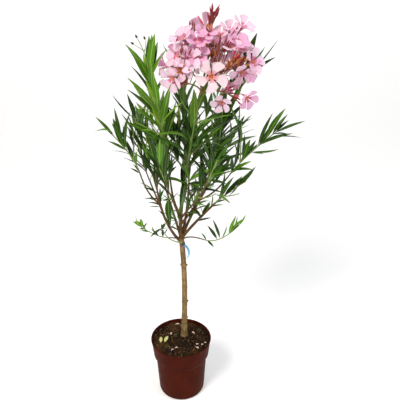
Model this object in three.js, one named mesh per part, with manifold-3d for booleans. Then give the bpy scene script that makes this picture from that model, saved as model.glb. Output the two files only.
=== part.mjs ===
// A young oleander grown as a small standard tree in a plastic nursery pot.
// The pot holds its soil; a bare trunk stands in the soil and forks into thin boughs, each bough
// ends in a leafy shoot, and the leading shoot carries a stalk with the heads of pink flowers.
// Millimetres, +Z up. The origin is the centre of the pot's underside; the front of the plant is -Y.
import * as THREE from "three";
import { mergeVertices } from "three/addons/utils/BufferGeometryUtils.js";
import Module from "manifold-3d";

const wasm = await Module();
wasm.setup();

// Clearance between neighbouring pieces, how close two vertices of one piece may be, and the seed
const GAP = 0.3;
const WELD = 1e-3;
const SEED = 20417;

// Pot: a moulded collar over a tapering body, thin walls, a flat floor with drain holes
const POT_HEIGHT = 175;
const RIM_RADIUS = 85;
const RIM_BEAD = 1.2;
const COLLAR_FOOT_RADIUS = 78.5;
const COLLAR_HEIGHT = 50;
const SHOULDER_HEIGHT = 9;
const BODY_TOP_RADIUS = 72;
const BODY_FOOT_RADIUS = 66;
const FOOT_ROUNDING = 14;
const WALL = 1.8;
const FLOOR = 2.4;
const POT_SIDES = 36;
const DRAIN_HOLES = 6;
const DRAIN_RADIUS = 5;
const DRAIN_CIRCLE = 32;

// Soil: fills the pot to just under its rim
const SOIL_TOP = 170;
const SOIL_EDGE_DROP = 3;

// Trunk: where it stands, where it forks, its girth, and the rings where it has a knot
const TRUNK_FOOT = [9, 16];
const TRUNK_MIDDLE = [17, 22, 305];
const TRUNK_FORK = [5, 9, 492];
const TRUNK_RISE = 0.6;
const TRUNK_BASE_RADIUS = 8;
const TRUNK_TOP_RADIUS = 6.8;
const ROOT_FLARE = 3.4;
const FLARE_FALL = 22;
const TRUNK_SIDES = 12;
const TRUNK_RINGS = 14;
const KNOT_RINGS = [2, 3, 6, 9, 12];
const KNOT_SWELL = 0.7;

// Boughs, stems and twigs: how finely each is faceted, and how a side limb sets off from its parent
const BOUGH_SIDES = 6;
const BOUGH_RINGS = 5;
const STEM_SIDES = 3;
const STEM_RINGS = 5;
const TWIG_RINGS = 3;
const AXIS_RINGS = 4;
const FORK_ANGLE = 38;
const BEND_SHARE = 0.42;
const STEM_TIP_RADIUS = 1.1;
const STEM_TAPER = 0.95;

// Side twigs: the stretch of the stem that they leave, their angle, reach against the stem, and lift
const TWIG_FROM = 0.12;
const TWIG_TO = 0.55;
const TWIG_ANGLE = 42;
const TWIG_REACH = [0.5, 0.68];
const TWIG_LIFT = 0.22;
const TWIG_RADII = [1.5, 1];
const TWIG_WHORLS = 0.45;
const TWIG_FIRST_WHORL = 0.3;
const TWIG_LEAF = 0.9;
const GOLDEN_TURN = 2.4;

// A blue label strap bent round the trunk just under the fork, open on the left, with a curled tail
const STRAP_AT = 0.925;
const STRAP_WIDTH = 10;
const STRAP_THICK = 0.9;
const STRAP_SPAN = [-88, 150];
const STRAP_STEPS = 12;
const STRAP_ROOM = 0.8;
const TAIL_SIDE = -42;
const TAIL_TURNS = [[17, 2], [24, -8], [24, -22], [16, -36]];
const TAIL_STEPS = 7;

// Leaves: their places and angles round a stem, in degrees
const WHORL = 3;
const WHORL_TURN = 60;
const TURN_WOBBLE = 14;
const OPEN_WOBBLE = 8;
const LEAF_LIFT = 0.16;
const FIRST_WHORL = 0.1;
const LAST_WHORL = 0.985;

// Leaves: their sizes, as shares of the shoot's large leaf and then of the leaf's own length
const LEAF_AT_FOOT = 0.94;
const LEAF_AT_TIP = 0.76;
const LEAF_RANGE = [0.82, 1.12];
const LEAF_WIDTH = 0.165;
const LEAF_THICK = 0.018;
const LEAF_WIDEST = 0.4;
const LEAF_BOW = [0.015, 0.05];
const LEAF_DROOP = [0.02, 0.16];

// A leaf's root is sunk past the middle of its stem, as a share of the stem's radius. Leaves of one
// whorl may run into each other up to the share WHORL_ROOM of their length. A leaf's tip may be this
// much further, in millimetres, from its own stem than from the stem of another mass.
const ROOT_SUNK = 0.5;
const WHORL_ROOM = 0.13;
const INTERLOCK = 55;

// Flowers: a long funnel on a thin stalk that opens into five lobes, and slim pointed buds
const PETALS = 5;
const FLOWER_RADIUS = 31;
const FUNNEL_MOUTH = 6;
const MOUTH_DEPTH = 5;
const LOBES = [
  { reach: 0.46, rise: 0.1 },
  { reach: 1, rise: 0.24 },
  { reach: 0.94, rise: 0.28 },
];
const BUD_LENGTH = 21;
const BUD_WIDTH = 5;
const BUD_WIDEST = 0.35;
const AXIS_RADII = [1.7, 1.1];
const AXIS_LAST = 0.97;
const AXIS_FIRST_FLOWER = 0.3;
const AXIS_FIRST_BUD = 0.6;
const BLOOM_LIFT = 0.15;
const BLOOM_SUNK = 0.8;
const BLOOM_TRIES = 12;
const FLOWER_HABIT = { open: [40, 86], stalk: [30, 50], size: [0.84, 1.04] };
const END_FLOWER_OPEN = [0, 14];
const BUD_HABIT = { open: [10, 40], stalk: [10, 22], size: [0.6, 1] };

// Each limb leaves its parent at a share of the parent's length and bends towards its own tip.
const LIMBS = [
  { name: "bough_centre", parent: "trunk", at: 1, tip: [8, 5, 580], radii: [5.2, 3.8] },
  { name: "bough_left", parent: "trunk", at: 0.945, tip: [-48, -8, 606], radii: [4, 2.8] },
  { name: "bough_right", parent: "trunk", at: 0.985, tip: [92, -18, 600], radii: [4.2, 2.6] },
  { name: "bough_back", parent: "trunk", at: 0.992, tip: [24, 42, 604], radii: [3.8, 2.8] },
  { name: "bough_back_left", parent: "trunk", at: 0.976, tip: [-34, 74, 592], radii: [3.6, 2.4] },
  { name: "bough_back_right", parent: "trunk", at: 0.98, tip: [72, 84, 598], radii: [3.6, 2.4] },
  { name: "bough_right_middle", parent: "bough_centre", at: 0.42, tip: [56, 4, 606], radii: [3.2, 2.6] },
  { name: "bough_left_centre", parent: "bough_centre", at: 0.7, tip: [-18, 10, 632], radii: [3, 2.4] },
  { name: "bough_right_upper", parent: "bough_right_middle", at: 0.7, tip: [66, 20, 650], radii: [2.4, 2.1] },
  { name: "bough_far_right", parent: "bough_right_middle", at: 0.9, tip: [122, -2, 662], radii: [2.2, 1.8] },
  { name: "bough_front_left", parent: "bough_centre", at: 0.55, tip: [-8, -50, 610], radii: [2.8, 2.1] },
  { name: "bough_front_right", parent: "bough_centre", at: 0.6, tip: [40, -56, 616], radii: [2.8, 2.1] },
  { name: "bough_left_upper", parent: "bough_left", at: 0.8, tip: [-64, 8, 668], radii: [2.2, 1.9] },
  { name: "bough_left_outer", parent: "bough_left", at: 0.9, tip: [-88, -26, 676], radii: [2.2, 1.8] },
  { name: "bough_left_rear", parent: "bough_left", at: 0.66, tip: [-78, 50, 640], radii: [2.2, 1.8] },
  { name: "bough_back_upper", parent: "bough_back", at: 0.8, tip: [70, 52, 668], radii: [2.4, 2] },
  { name: "twig_low_right", parent: "trunk", at: 0.965, tip: [64, -34, 506], radii: [1.9, 1.5] },
  { name: "twig_low_left", parent: "trunk", at: 0.962, tip: [-26, -12, 500], radii: [1.8, 1.4] },
  { name: "twig_low_back", parent: "trunk", at: 0.96, tip: [28, 76, 520], radii: [1.9, 1.5] },
];

// Each leafy shoot grows on from the tip of a limb to its own tip. Its whorls of leaves run up the stem,
// from the share `from` of its length, and up its side twigs. They stand off the stem by `spread` degrees
// at its foot and by `rake` degrees at its tip, and `leaf` is the length of a large one.
const SHOOTS = [
  {
    name: "leaves_leader", limb: "bough_centre", tip: [54, -62, 872],
    leaf: 130, whorls: 13, twigs: 0, spread: 76, rake: 40,
  },
  {
    name: "leaves_left_centre", limb: "bough_left_centre", tip: [-60, -8, 902],
    leaf: 124, whorls: 14, twigs: 1, spread: 50, rake: 28,
  },
  {
    name: "leaves_front_left", limb: "bough_front_left", tip: [-38, -96, 724],
    leaf: 98, whorls: 5, twigs: 2, spread: 68, rake: 30,
  },
  {
    name: "leaves_front_right", limb: "bough_front_right", tip: [92, -98, 738],
    leaf: 104, whorls: 5, twigs: 2, spread: 68, rake: 32, from: 0.26,
  },
  {
    name: "leaves_left", limb: "bough_left", tip: [-46, -22, 752],
    leaf: 96, whorls: 7, twigs: 1, spread: 54, rake: 20,
  },
  {
    name: "leaves_left_upper", limb: "bough_left_upper", tip: [-98, 2, 808],
    leaf: 96, whorls: 5, twigs: 1, spread: 46, rake: 14,
  },
  {
    name: "leaves_left_outer", limb: "bough_left_outer", tip: [-154, -46, 790],
    leaf: 74, whorls: 5, twigs: 1, spread: 46, rake: 12,
  },
  {
    name: "leaves_left_rear", limb: "bough_left_rear", tip: [-112, 86, 770],
    leaf: 88, whorls: 5, twigs: 2, spread: 48, rake: 16,
  },
  {
    name: "leaves_right_upper", limb: "bough_right_upper", tip: [108, 8, 854],
    leaf: 122, whorls: 9, twigs: 1, spread: 54, rake: 18,
  },
  {
    name: "leaves_right_middle", limb: "bough_right_middle", tip: [76, -24, 722],
    leaf: 96, whorls: 6, twigs: 0, spread: 60, rake: 24, from: 0.22,
  },
  {
    name: "leaves_far_right", limb: "bough_far_right", tip: [236, -4, 778],
    leaf: 90, whorls: 6, twigs: 1, spread: 38, rake: 14,
  },
  {
    name: "leaves_right", limb: "bough_right", tip: [164, -36, 664],
    leaf: 72, whorls: 5, twigs: 1, spread: 50, rake: 16,
  },
  {
    name: "leaves_back", limb: "bough_back", tip: [4, 70, 880],
    leaf: 122, whorls: 11, twigs: 2, spread: 52, rake: 18,
  },
  {
    name: "leaves_back_upper", limb: "bough_back_upper", tip: [166, 48, 896],
    leaf: 112, whorls: 9, twigs: 0, spread: 42, rake: 14,
  },
  {
    name: "leaves_back_left", limb: "bough_back_left", tip: [-48, 156, 772],
    leaf: 100, whorls: 6, twigs: 2, spread: 50, rake: 16,
  },
  {
    name: "leaves_back_right", limb: "bough_back_right", tip: [104, 158, 776],
    leaf: 104, whorls: 6, twigs: 2, spread: 50, rake: 16,
  },
  {
    name: "leaves_low_right", limb: "twig_low_right", tip: [148, -72, 566],
    leaf: 46, whorls: 4, twigs: 0, spread: 60, rake: 16, from: 0.42,
  },
  {
    name: "leaves_low_left", limb: "twig_low_left", tip: [-96, -16, 534],
    leaf: 42, whorls: 4, twigs: 0, spread: 72, rake: 20, from: 0.4,
  },
  {
    name: "leaves_low_back", limb: "twig_low_back", tip: [52, 152, 600],
    leaf: 60, whorls: 4, twigs: 1, spread: 62, rake: 16,
  },
];

// The stalk that stands on the leading shoot, and the flower heads along it. A head's open flowers run
// up its axis to the share `openTo`; the one at the end of an axis faces the way the axis points.
const STALK = { name: "flower_stalk", tip: [74, -58, 962], radii: [2.6, 1.9] };
const HEADS = [
  { name: "flowers_left", at: 0.25, tip: [6, -80, 942], flowers: 10, buds: 5 },
  { name: "flowers_left_low", at: 0.12, tip: [12, -98, 904], flowers: 4, buds: 3 },
  { name: "flowers_front", at: 0.3, tip: [80, -104, 908], flowers: 5, buds: 5 },
  { name: "flowers_low_right", at: 0.06, tip: [128, -98, 876], flowers: 3, buds: 4 },
  { name: "flowers_right", at: 0.36, tip: [144, -62, 930], flowers: 9, buds: 5 },
  { name: "flowers_right_top", at: 0.66, tip: [114, -40, 976], flowers: 7, buds: 4 },
  { name: "flowers_back", at: 0.5, tip: [58, -4, 950], flowers: 6, buds: 3 },
  { name: "flowers_top", at: 0.98, tip: [81, -58, 1032], flowers: 4, buds: 12, openTo: 0.4 },
];

const point = (p) => new THREE.Vector3(...p);
const radians = THREE.MathUtils.degToRad;
const lerp = THREE.MathUtils.lerp;
const UP = new THREE.Vector3(0, 0, 1);

// A repeatable number from 0 to 1 for a place in the plant, the same in any order of asking
function chance(...keys) {
  let h = SEED;
  for (const key of keys) {
    h = Math.imul(h ^ (key + 0x9e3779b9), 0x85ebca6b);
    h ^= h >>> 13;
    h = Math.imul(h, 0xc2b2ae35);
    h ^= h >>> 16;
  }
  return (h >>> 0) / 2 ** 32;
}

const between = ([low, high], ...keys) => lerp(low, high, chance(...keys));
const wobble = (most, ...keys) => between([-most, most], ...keys);

function solidOf(geometry) {
  const bare = geometry.clone();
  bare.deleteAttribute("normal");
  bare.deleteAttribute("uv");
  const welded = mergeVertices(bare, WELD);
  return new wasm.Manifold(
    new wasm.Mesh({
      numProp: 3,
      vertProperties: welded.attributes.position.array,
      triVerts: new Uint32Array(welded.index.array),
    }),
  );
}

// The outer skin of the largest piece: a hollow sealed by fusing is filled, a loose scrap is dropped
function whole(solid) {
  return solid.decompose().sort((a, b) => b.volume() - a.volume())[0];
}

function meshOf(solid, name, finish) {
  const made = solid.getMesh();
  const geometry = new THREE.BufferGeometry();
  geometry.setAttribute("position", new THREE.BufferAttribute(made.vertProperties, made.numProp));
  geometry.setIndex(new THREE.BufferAttribute(made.triVerts, 1));
  geometry.computeVertexNormals();
  const mesh = new THREE.Mesh(geometry, finish);
  mesh.name = name;
  return mesh;
}

// A closed profile of [radius, height] pairs turned about the Z axis
function turned(profile, sides) {
  const lathe = new THREE.LatheGeometry(
    profile.map(([r, z]) => new THREE.Vector2(r, z)),
    sides,
  );
  return solidOf(lathe.rotateX(Math.PI / 2));
}

// Points on a quarter of a circle in a profile
function quarter(centre, radius, from, steps) {
  return Array.from({ length: steps + 1 }, (_, i) => {
    const a = radians(from + (90 * i) / steps);
    return [centre[0] + radius * Math.cos(a), centre[1] + radius * Math.sin(a)];
  });
}

// The pot's outer wall from its foot to under the rim, moved inwards by `inset`
function wallProfile(inset) {
  const shoulder = POT_HEIGHT - COLLAR_HEIGHT;
  const centre = [BODY_FOOT_RADIUS - FOOT_ROUNDING, FOOT_ROUNDING];
  return [
    ...quarter(centre, FOOT_ROUNDING - inset, 270, 2),
    [BODY_TOP_RADIUS - inset, shoulder - SHOULDER_HEIGHT],
    [COLLAR_FOOT_RADIUS - inset, shoulder],
  ];
}

function pot() {
  const inner = wallProfile(WALL).filter(([, z]) => z > FLOOR);
  const profile = [
    [0, 0],
    ...wallProfile(0),
    [RIM_RADIUS - RIM_BEAD, POT_HEIGHT - 2 * RIM_BEAD],
    [RIM_RADIUS, POT_HEIGHT - RIM_BEAD],
    [RIM_RADIUS - RIM_BEAD, POT_HEIGHT],
    [RIM_RADIUS - RIM_BEAD - WALL, POT_HEIGHT],
    ...inner.reverse(),
    [BODY_FOOT_RADIUS - FOOT_ROUNDING, FLOOR],
    [0, FLOOR],
  ];
  let made = turned(profile, POT_SIDES);
  for (let i = 0; i < DRAIN_HOLES; i++) {
    const a = (2 * Math.PI * i) / DRAIN_HOLES;
    const drill = new THREE.CylinderGeometry(DRAIN_RADIUS, DRAIN_RADIUS, 4 * FLOOR, 6);
    drill.rotateX(Math.PI / 2);
    drill.translate(DRAIN_CIRCLE * Math.cos(a), DRAIN_CIRCLE * Math.sin(a), 0);
    made = made.subtract(solidOf(drill));
  }
  return made;
}

// The soil follows the pot's inside and falls off a little towards its edge
function soil() {
  const floor = FLOOR + GAP;
  const sides = wallProfile(WALL + 2 * GAP).filter(([, z]) => z > floor + 1);
  const share = (SOIL_TOP - SOIL_EDGE_DROP - POT_HEIGHT + COLLAR_HEIGHT) / COLLAR_HEIGHT;
  const radius = lerp(COLLAR_FOOT_RADIUS, RIM_RADIUS - RIM_BEAD, share) - WALL - 2 * GAP;
  const profile = [
    [0, floor],
    [BODY_FOOT_RADIUS - FOOT_ROUNDING, floor],
    ...sides,
    [radius, SOIL_TOP - SOIL_EDGE_DROP],
    [radius - 2 * SOIL_EDGE_DROP, SOIL_TOP],
    [0, SOIL_TOP],
  ];
  return turned(profile, POT_SIDES);
}

// A geometry one unit tall, cut into `rings`, bent so that its Y axis runs along a curve.
// Its X axis follows the curve's binormal or, on a flat curve, stays on the given direction.
function bent(straight, curve, rings, scaleAt, across) {
  const { tangents, normals, binormals } = curve.computeFrenetFrames(rings, false);
  const at = straight.attributes.position;
  for (let i = 0; i < at.count; i++) {
    const ring = Math.round((at.getY(i) + 0.5) * rings);
    const scale = scaleAt(ring / rings);
    const right = across ?? binormals[ring];
    const front = across ? across.clone().cross(tangents[ring]) : normals[ring];
    const place = curve
      .getPointAt(ring / rings)
      .addScaledVector(right, at.getX(i) * scale)
      .addScaledVector(front, at.getZ(i) * scale);
    at.setXYZ(i, place.x, place.y, place.z);
  }
  return solidOf(straight);
}

// A round bar with `sides` faces, with a radius for each share of its length
function bar(curve, sides, rings, radiusAt) {
  return bent(new THREE.CylinderGeometry(1, 1, 1, sides, rings), curve, rings, radiusAt);
}

const tapered = ([base, tip], extra = 0) => (t) => lerp(base, tip, t) + extra;

// From a start along a heading to a tip, bending once
function bend(start, heading, tip) {
  const reach = start.distanceTo(tip);
  const knee = start.clone().addScaledVector(heading, reach * BEND_SHARE);
  return new THREE.QuadraticBezierCurve3(start, knee, tip);
}

// `along` tipped towards `out` by an angle in degrees
function tipped(along, out, angle) {
  const a = radians(angle);
  return along.clone().multiplyScalar(Math.cos(a)).addScaledVector(out, Math.sin(a));
}

// The way a side limb leaves its parent: FORK_ANGLE off the parent, on the side of its own tip
function sideways(along, start, tip) {
  const out = tip.clone().sub(start);
  out.addScaledVector(along, -out.dot(along)).normalize();
  return tipped(along, out, FORK_ANGLE);
}

// Unit vector square to `along`, turned by `angle` about it
function around(along, angle) {
  const guide = Math.abs(along.z) < 0.95 ? UP : new THREE.Vector3(1, 0, 0);
  return new THREE.Vector3().crossVectors(along, guide).normalize().applyAxisAngle(along, angle);
}

// A curve that grows straight on from the end of another one, a gap clear of it
function growOn(curve, tip) {
  const heading = curve.getTangentAt(1);
  return bend(curve.getPointAt(1).addScaledVector(heading, GAP), heading, point(tip));
}

// A curve that forks off another one at a share of its length
function forkOff(curve, share, tip) {
  const start = curve.getPointAt(share);
  return bend(start, sideways(curve.getTangentAt(share), start, point(tip)), point(tip));
}

const boxesMeet = (a, b) => [0, 1, 2].every((i) => a.min[i] < b.max[i] && b.min[i] < a.max[i]);

// Everything already standing, as { owner, kind, solid, box }
const standing = [];

function stand(owner, kind, solid) {
  standing.push({ owner, kind, solid, box: solid.boundingBox() });
}

const meets = (solid, box, s) => boxesMeet(s.box, box) && !s.solid.intersect(solid).isEmpty();

// Whether a solid would touch a limb, or anything that belongs to another mass
function touches(solid, owner) {
  const box = solid.boundingBox();
  return standing.some((s) => s.owner !== owner && meets(solid, box, s));
}

// Whether a solid would touch a leaf or a flower of its own mass
function crowds(solid, owner) {
  const box = solid.boundingBox();
  return standing.some((s) => s.owner === owner && s.kind === "blade" && meets(solid, box, s));
}

// The trunk and every limb: its curve, its solid cut clear of those before it, and its outer skin
const limbs = new Map();

function addLimb(name, curve, radiusAt, sides, rings) {
  let solid = bar(curve, sides, rings, radiusAt);
  for (const other of limbs.values()) {
    if (boxesMeet(other.skin.boundingBox(), solid.boundingBox())) solid = solid.subtract(other.skin);
  }
  const skin = bar(curve, sides, rings, (t) => (radiusAt(t) + GAP) / Math.cos(Math.PI / sides));
  limbs.set(name, { curve, solid: whole(solid), skin, radiusAt });
  stand(name, "limb", skin);
}

function trunkCurve() {
  const foot = new THREE.Vector3(...TRUNK_FOOT, SOIL_TOP + GAP);
  const middle = point(TRUNK_MIDDLE);
  const rise = (middle.z - foot.z) * TRUNK_RISE;
  return new THREE.CubicBezierCurve3(
    foot,
    foot.clone().setZ(foot.z + rise),
    middle.clone().setZ(middle.z + rise / 2),
    point(TRUNK_FORK),
  );
}

function trunkRadius(t) {
  const knot = KNOT_RINGS.includes(Math.round(t * TRUNK_RINGS)) ? KNOT_SWELL : 0;
  return lerp(TRUNK_BASE_RADIUS, TRUNK_TOP_RADIUS, t) + ROOT_FLARE * Math.exp(-t * FLARE_FALL) + knot;
}

function growLimbs() {
  addLimb("trunk", trunkCurve(), trunkRadius, TRUNK_SIDES, TRUNK_RINGS);
  for (const { name, parent, at, tip, radii } of LIMBS) {
    const from = limbs.get(parent).curve;
    const curve = at === 1 ? growOn(from, tip) : forkOff(from, at, tip);
    addLimb(name, curve, tapered(radii), BOUGH_SIDES, BOUGH_RINGS);
  }
}

// The strap: an open band square to the trunk, fused to a tail that swings out in an upright plane
function strap() {
  const { curve, radiusAt } = limbs.get("trunk");
  const centre = curve.getPointAt(STRAP_AT);
  const along = curve.getTangentAt(STRAP_AT);
  const radius = radiusAt(STRAP_AT) + STRAP_ROOM + STRAP_THICK / 2;
  const flat = (steps) => new THREE.BoxGeometry(STRAP_WIDTH, 1, STRAP_THICK, 1, steps, 1);
  const arc = Array.from({ length: STRAP_STEPS + 1 }, (_, i) => {
    const side = radians(lerp(...STRAP_SPAN, i / STRAP_STEPS));
    const out = new THREE.Vector3(1, 0, 0).applyAxisAngle(UP, side).projectOnPlane(along);
    return centre.clone().add(out.setLength(radius));
  });
  const band = bent(flat(STRAP_STEPS), new THREE.CatmullRomCurve3(arc), STRAP_STEPS, () => 1, along);
  const out = new THREE.Vector3(1, 0, 0).applyAxisAngle(UP, radians(TAIL_SIDE));
  const bends = [[radius, 0], ...TAIL_TURNS].map(([x, z]) =>
    centre.clone().addScaledVector(out, x).addScaledVector(UP, z),
  );
  const path = new THREE.CatmullRomCurve3(bends);
  let made = band.add(bent(flat(TAIL_STEPS), path, TAIL_STEPS, () => 1, UP.clone().cross(out)));
  for (const limb of limbs.values()) made = made.subtract(limb.skin);
  return whole(made);
}

// A leaf blade: two three-sided pyramids base to base, with a flat upper side and a keel beneath.
// It can start part of the way out, and be grown all round by an extra margin.
function blade({ root, along, face, length, width, thick, bow, droop }, from = 0, extra = 0) {
  const across = new THREE.Vector3().crossVectors(face, along);
  const place = (s, n, x) =>
    root
      .clone()
      .addScaledVector(along, s * length)
      .addScaledVector(face, n)
      .addScaledVector(across, x);
  const geometry = new THREE.SphereGeometry(1, 3, 2);
  const at = geometry.attributes.position;
  for (let i = 0; i < at.count; i++) {
    const [x, y, z] = [at.getX(i), at.getY(i), at.getZ(i)];
    let v = place(LEAF_WIDEST, bow + thick / 2 + extra, Math.sign(z) * (width / 2 + extra));
    if (y < -0.5) v = place(from, (bow * from) / LEAF_WIDEST, 0);
    else if (y > 0.5) v = place(1, bow - droop, 0);
    else if (x < -0.75) v = place(LEAF_WIDEST, bow - thick / 2 - extra, 0);
    at.setXYZ(i, v.x, v.y, v.z);
  }
  return solidOf(geometry);
}

// Each mass keeps to its own space, worked out from the lines of all the stems
const spines = new Map();
const stations = (curve) => curve.getSpacedPoints(10);
const nearest = (place, line) => Math.min(...line.map((p) => p.distanceTo(place)));

function inOwnSpace(place, owner) {
  const own = nearest(place, spines.get(owner));
  for (const [name, line] of spines) {
    if (name !== owner && nearest(place, line) < own - INTERLOCK) return false;
  }
  return true;
}

// One leaf of a whorl: it stands off the stem, turns a little to the light and shows its upper face
function leafAt(root, along, radius, turn, open, longest, keys) {
  const out = around(along, turn);
  const angle = open + wobble(OPEN_WOBBLE, ...keys, 3);
  const heading = tipped(along, out, angle).addScaledVector(UP, LEAF_LIFT).normalize();
  const across = new THREE.Vector3().crossVectors(heading, out).normalize();
  const face = new THREE.Vector3().crossVectors(across, heading).normalize();
  if (face.dot(along) < 0) face.negate();
  const length = longest * between(LEAF_RANGE, ...keys, 4);
  return {
    root: root.clone().addScaledVector(heading, -ROOT_SUNK * radius),
    along: heading,
    face,
    length,
    width: length * LEAF_WIDTH,
    thick: length * LEAF_THICK,
    bow: length * between(LEAF_BOW, ...keys, 5),
    droop: length * between(LEAF_DROOP, ...keys, 6) * Math.sin(radians(angle)),
  };
}

// The whorls of leaves along one stem or twig
function whorlsOn(curve, radiusAt, shoot, keys, count, first) {
  const leaves = [];
  for (let k = 0; k < count; k++) {
    const step = (k + 0.5 * chance(...keys, k, 1)) / Math.max(count - 0.5, 1);
    const t = lerp(first, LAST_WHORL, step);
    const open = lerp(shoot.spread, shoot.rake, (k + 0.5) / count);
    const longest = shoot.leaf * lerp(LEAF_AT_FOOT, LEAF_AT_TIP, k / count);
    for (let j = 0; j < WHORL; j++) {
      const turn = WHORL_TURN * k + (360 / WHORL) * j + wobble(TURN_WOBBLE, ...keys, k, j, 2);
      const [root, along] = [curve.getPointAt(t), curve.getTangentAt(t)];
      leaves.push(leafAt(root, along, radiusAt(t), radians(turn), open, longest, [...keys, k, j]));
    }
  }
  return leaves;
}

// Side twigs leave the stem in turn round it
function twigsOf(stem, shoot, index) {
  const first = between([0, 2 * Math.PI], index, 7);
  return Array.from({ length: shoot.twigs }, (_, i) => {
    const t = lerp(TWIG_FROM, TWIG_TO, (i + 0.4) / shoot.twigs);
    const start = stem.getPointAt(t);
    const along = stem.getTangentAt(t);
    const heading = tipped(along, around(along, GOLDEN_TURN * i + first), TWIG_ANGLE);
    const reach = stem.getLength() * between(TWIG_REACH, index, i, 8);
    const tip = start
      .clone()
      .addScaledVector(heading, reach * (1 - TWIG_LIFT))
      .addScaledVector(UP, reach * TWIG_LIFT);
    return { curve: bend(start, heading, tip), keys: [index, 30 + i] };
  });
}

// The stem of each leafy shoot, before any of its leaves
function growStem(shoot, index) {
  const bough = limbs.get(shoot.limb);
  const curve = growOn(bough.curve, shoot.tip);
  const radiusAt = tapered([bough.radiusAt(1) * STEM_TAPER, STEM_TIP_RADIUS]);
  const stem = bar(curve, STEM_SIDES, STEM_RINGS, radiusAt);
  spines.set(shoot.name, stations(curve));
  stand(shoot.name, "stem", stem);
  return { name: shoot.name, shoot, index, curve, radiusAt, parts: [stem] };
}

// The twigs of a shoot that keep to its space and touch nothing
function growTwigs(plan) {
  const { name, shoot, index, curve, parts } = plan;
  plan.twigs = twigsOf(curve, shoot, index).filter((twig) => {
    const room = bar(twig.curve, STEM_SIDES, TWIG_RINGS, tapered(TWIG_RADII, GAP));
    const outside = stations(twig.curve).some((p) => !inOwnSpace(p, name));
    if (outside || touches(room, name)) return false;
    stand(name, "stem", room);
    parts.push(bar(twig.curve, STEM_SIDES, TWIG_RINGS, tapered(TWIG_RADII)));
    return true;
  });
}

// The leaves of a shoot that keep to its space and touch nothing but their own stem
function growLeaves({ name, shoot, index, curve, radiusAt, twigs, parts }) {
  const first = shoot.from ?? FIRST_WHORL;
  const leaves = whorlsOn(curve, radiusAt, shoot, [index, 20], shoot.whorls, first);
  const smaller = { ...shoot, leaf: shoot.leaf * TWIG_LEAF };
  const fewer = Math.max(2, Math.round(shoot.whorls * TWIG_WHORLS));
  for (const twig of twigs) {
    leaves.push(...whorlsOn(twig.curve, tapered(TWIG_RADII), smaller, twig.keys, fewer, TWIG_FIRST_WHORL));
  }
  for (const leaf of leaves) {
    const tip = leaf.root.clone().addScaledVector(leaf.along, leaf.length);
    const room = blade(leaf, 0, GAP);
    if (!inOwnSpace(tip, name) || touches(room, name)) continue;
    if (crowds(blade(leaf, WHORL_ROOM, GAP), name)) continue;
    stand(name, "blade", room);
    parts.push(blade(leaf));
  }
}

// One open flower on its stalk, each lobe fuller on one side. The cone's rim has three points to a
// lobe; the points of its middle ring fall together in fives, and its apex is the foot of the stalk.
function flower(foot, axis, reach, size, turn) {
  const points = 3 * PETALS;
  const cone = new THREE.ConeGeometry(1, 1, points, 2);
  const at = cone.attributes.position;
  const side = around(axis, turn);
  const other = new THREE.Vector3().crossVectors(side, axis);
  for (let i = 0; i < at.count; i++) {
    const [x, y, z] = [at.getX(i), at.getY(i), at.getZ(i)];
    const step = points + Math.round((Math.atan2(x, z) / (2 * Math.PI)) * points);
    const lobe = LOBES[step % 3];
    let round = step;
    let radius = lobe.reach * FLOWER_RADIUS * size;
    let height = reach + lobe.rise * FLOWER_RADIUS * size;
    if (y > 0.4) [radius, height] = [0, 0];
    else if (Math.hypot(x, z) < 0.1) [radius, height] = [0, reach];
    else if (y > -0.4) {
      round = step - (step % 3) + 1.5;
      [radius, height] = [FUNNEL_MOUTH * size, reach - MOUTH_DEPTH * size];
    }
    const angle = (2 * Math.PI * round) / points;
    const v = foot
      .clone()
      .addScaledVector(axis, height)
      .addScaledVector(side, Math.cos(angle) * radius)
      .addScaledVector(other, Math.sin(angle) * radius);
    at.setXYZ(i, v.x, v.y, v.z);
  }
  return solidOf(cone);
}

// A bud on its stalk, drawn out to a point
function bud(foot, axis, reach, size) {
  const spindle = new THREE.SphereGeometry(1, 3, 2);
  const side = around(axis, 0);
  const other = new THREE.Vector3().crossVectors(side, axis);
  const at = spindle.attributes.position;
  const radius = (BUD_WIDTH * size) / 2;
  for (let i = 0; i < at.count; i++) {
    const y = at.getY(i);
    const share = y > 0.5 ? 1 : BUD_WIDEST;
    const v = foot
      .clone()
      .addScaledVector(axis, y < -0.5 ? 0 : reach + share * BUD_LENGTH * size)
      .addScaledVector(side, at.getX(i) * radius)
      .addScaledVector(other, at.getZ(i) * radius);
    at.setXYZ(i, v.x, v.y, v.z);
  }
  return solidOf(spindle);
}

// The axis of a flower head, forking off the stalk
function growAxis(head, index, stalk) {
  const curve = forkOff(stalk.curve, head.at, head.tip);
  const axis = bar(curve, STEM_SIDES, AXIS_RINGS, tapered(AXIS_RADII)).subtract(stalk.skin);
  spines.set(head.name, stations(curve));
  stand(head.name, "stem", bar(curve, STEM_SIDES, AXIS_RINGS, tapered(AXIS_RADII, GAP)));
  return { name: head.name, head, index, curve, parts: [whole(axis)] };
}

// One try at a flower or bud on an axis
function bloomAt(curve, t, isBud, open, keys) {
  const along = curve.getTangentAt(t);
  const habit = isBud ? BUD_HABIT : FLOWER_HABIT;
  const out = around(along, between([0, 2 * Math.PI], ...keys, 40));
  const way = tipped(along, out, between(open, ...keys, 41));
  way.addScaledVector(UP, BLOOM_LIFT).normalize();
  const foot = curve.getPointAt(t).addScaledVector(way, -BLOOM_SUNK);
  const reach = between(habit.stalk, ...keys, 42);
  const size = between(habit.size, ...keys, 43);
  if (isBud) return bud(foot, way, reach, size);
  return flower(foot, way, reach, size, between([0, 6], ...keys, 44));
}

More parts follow.
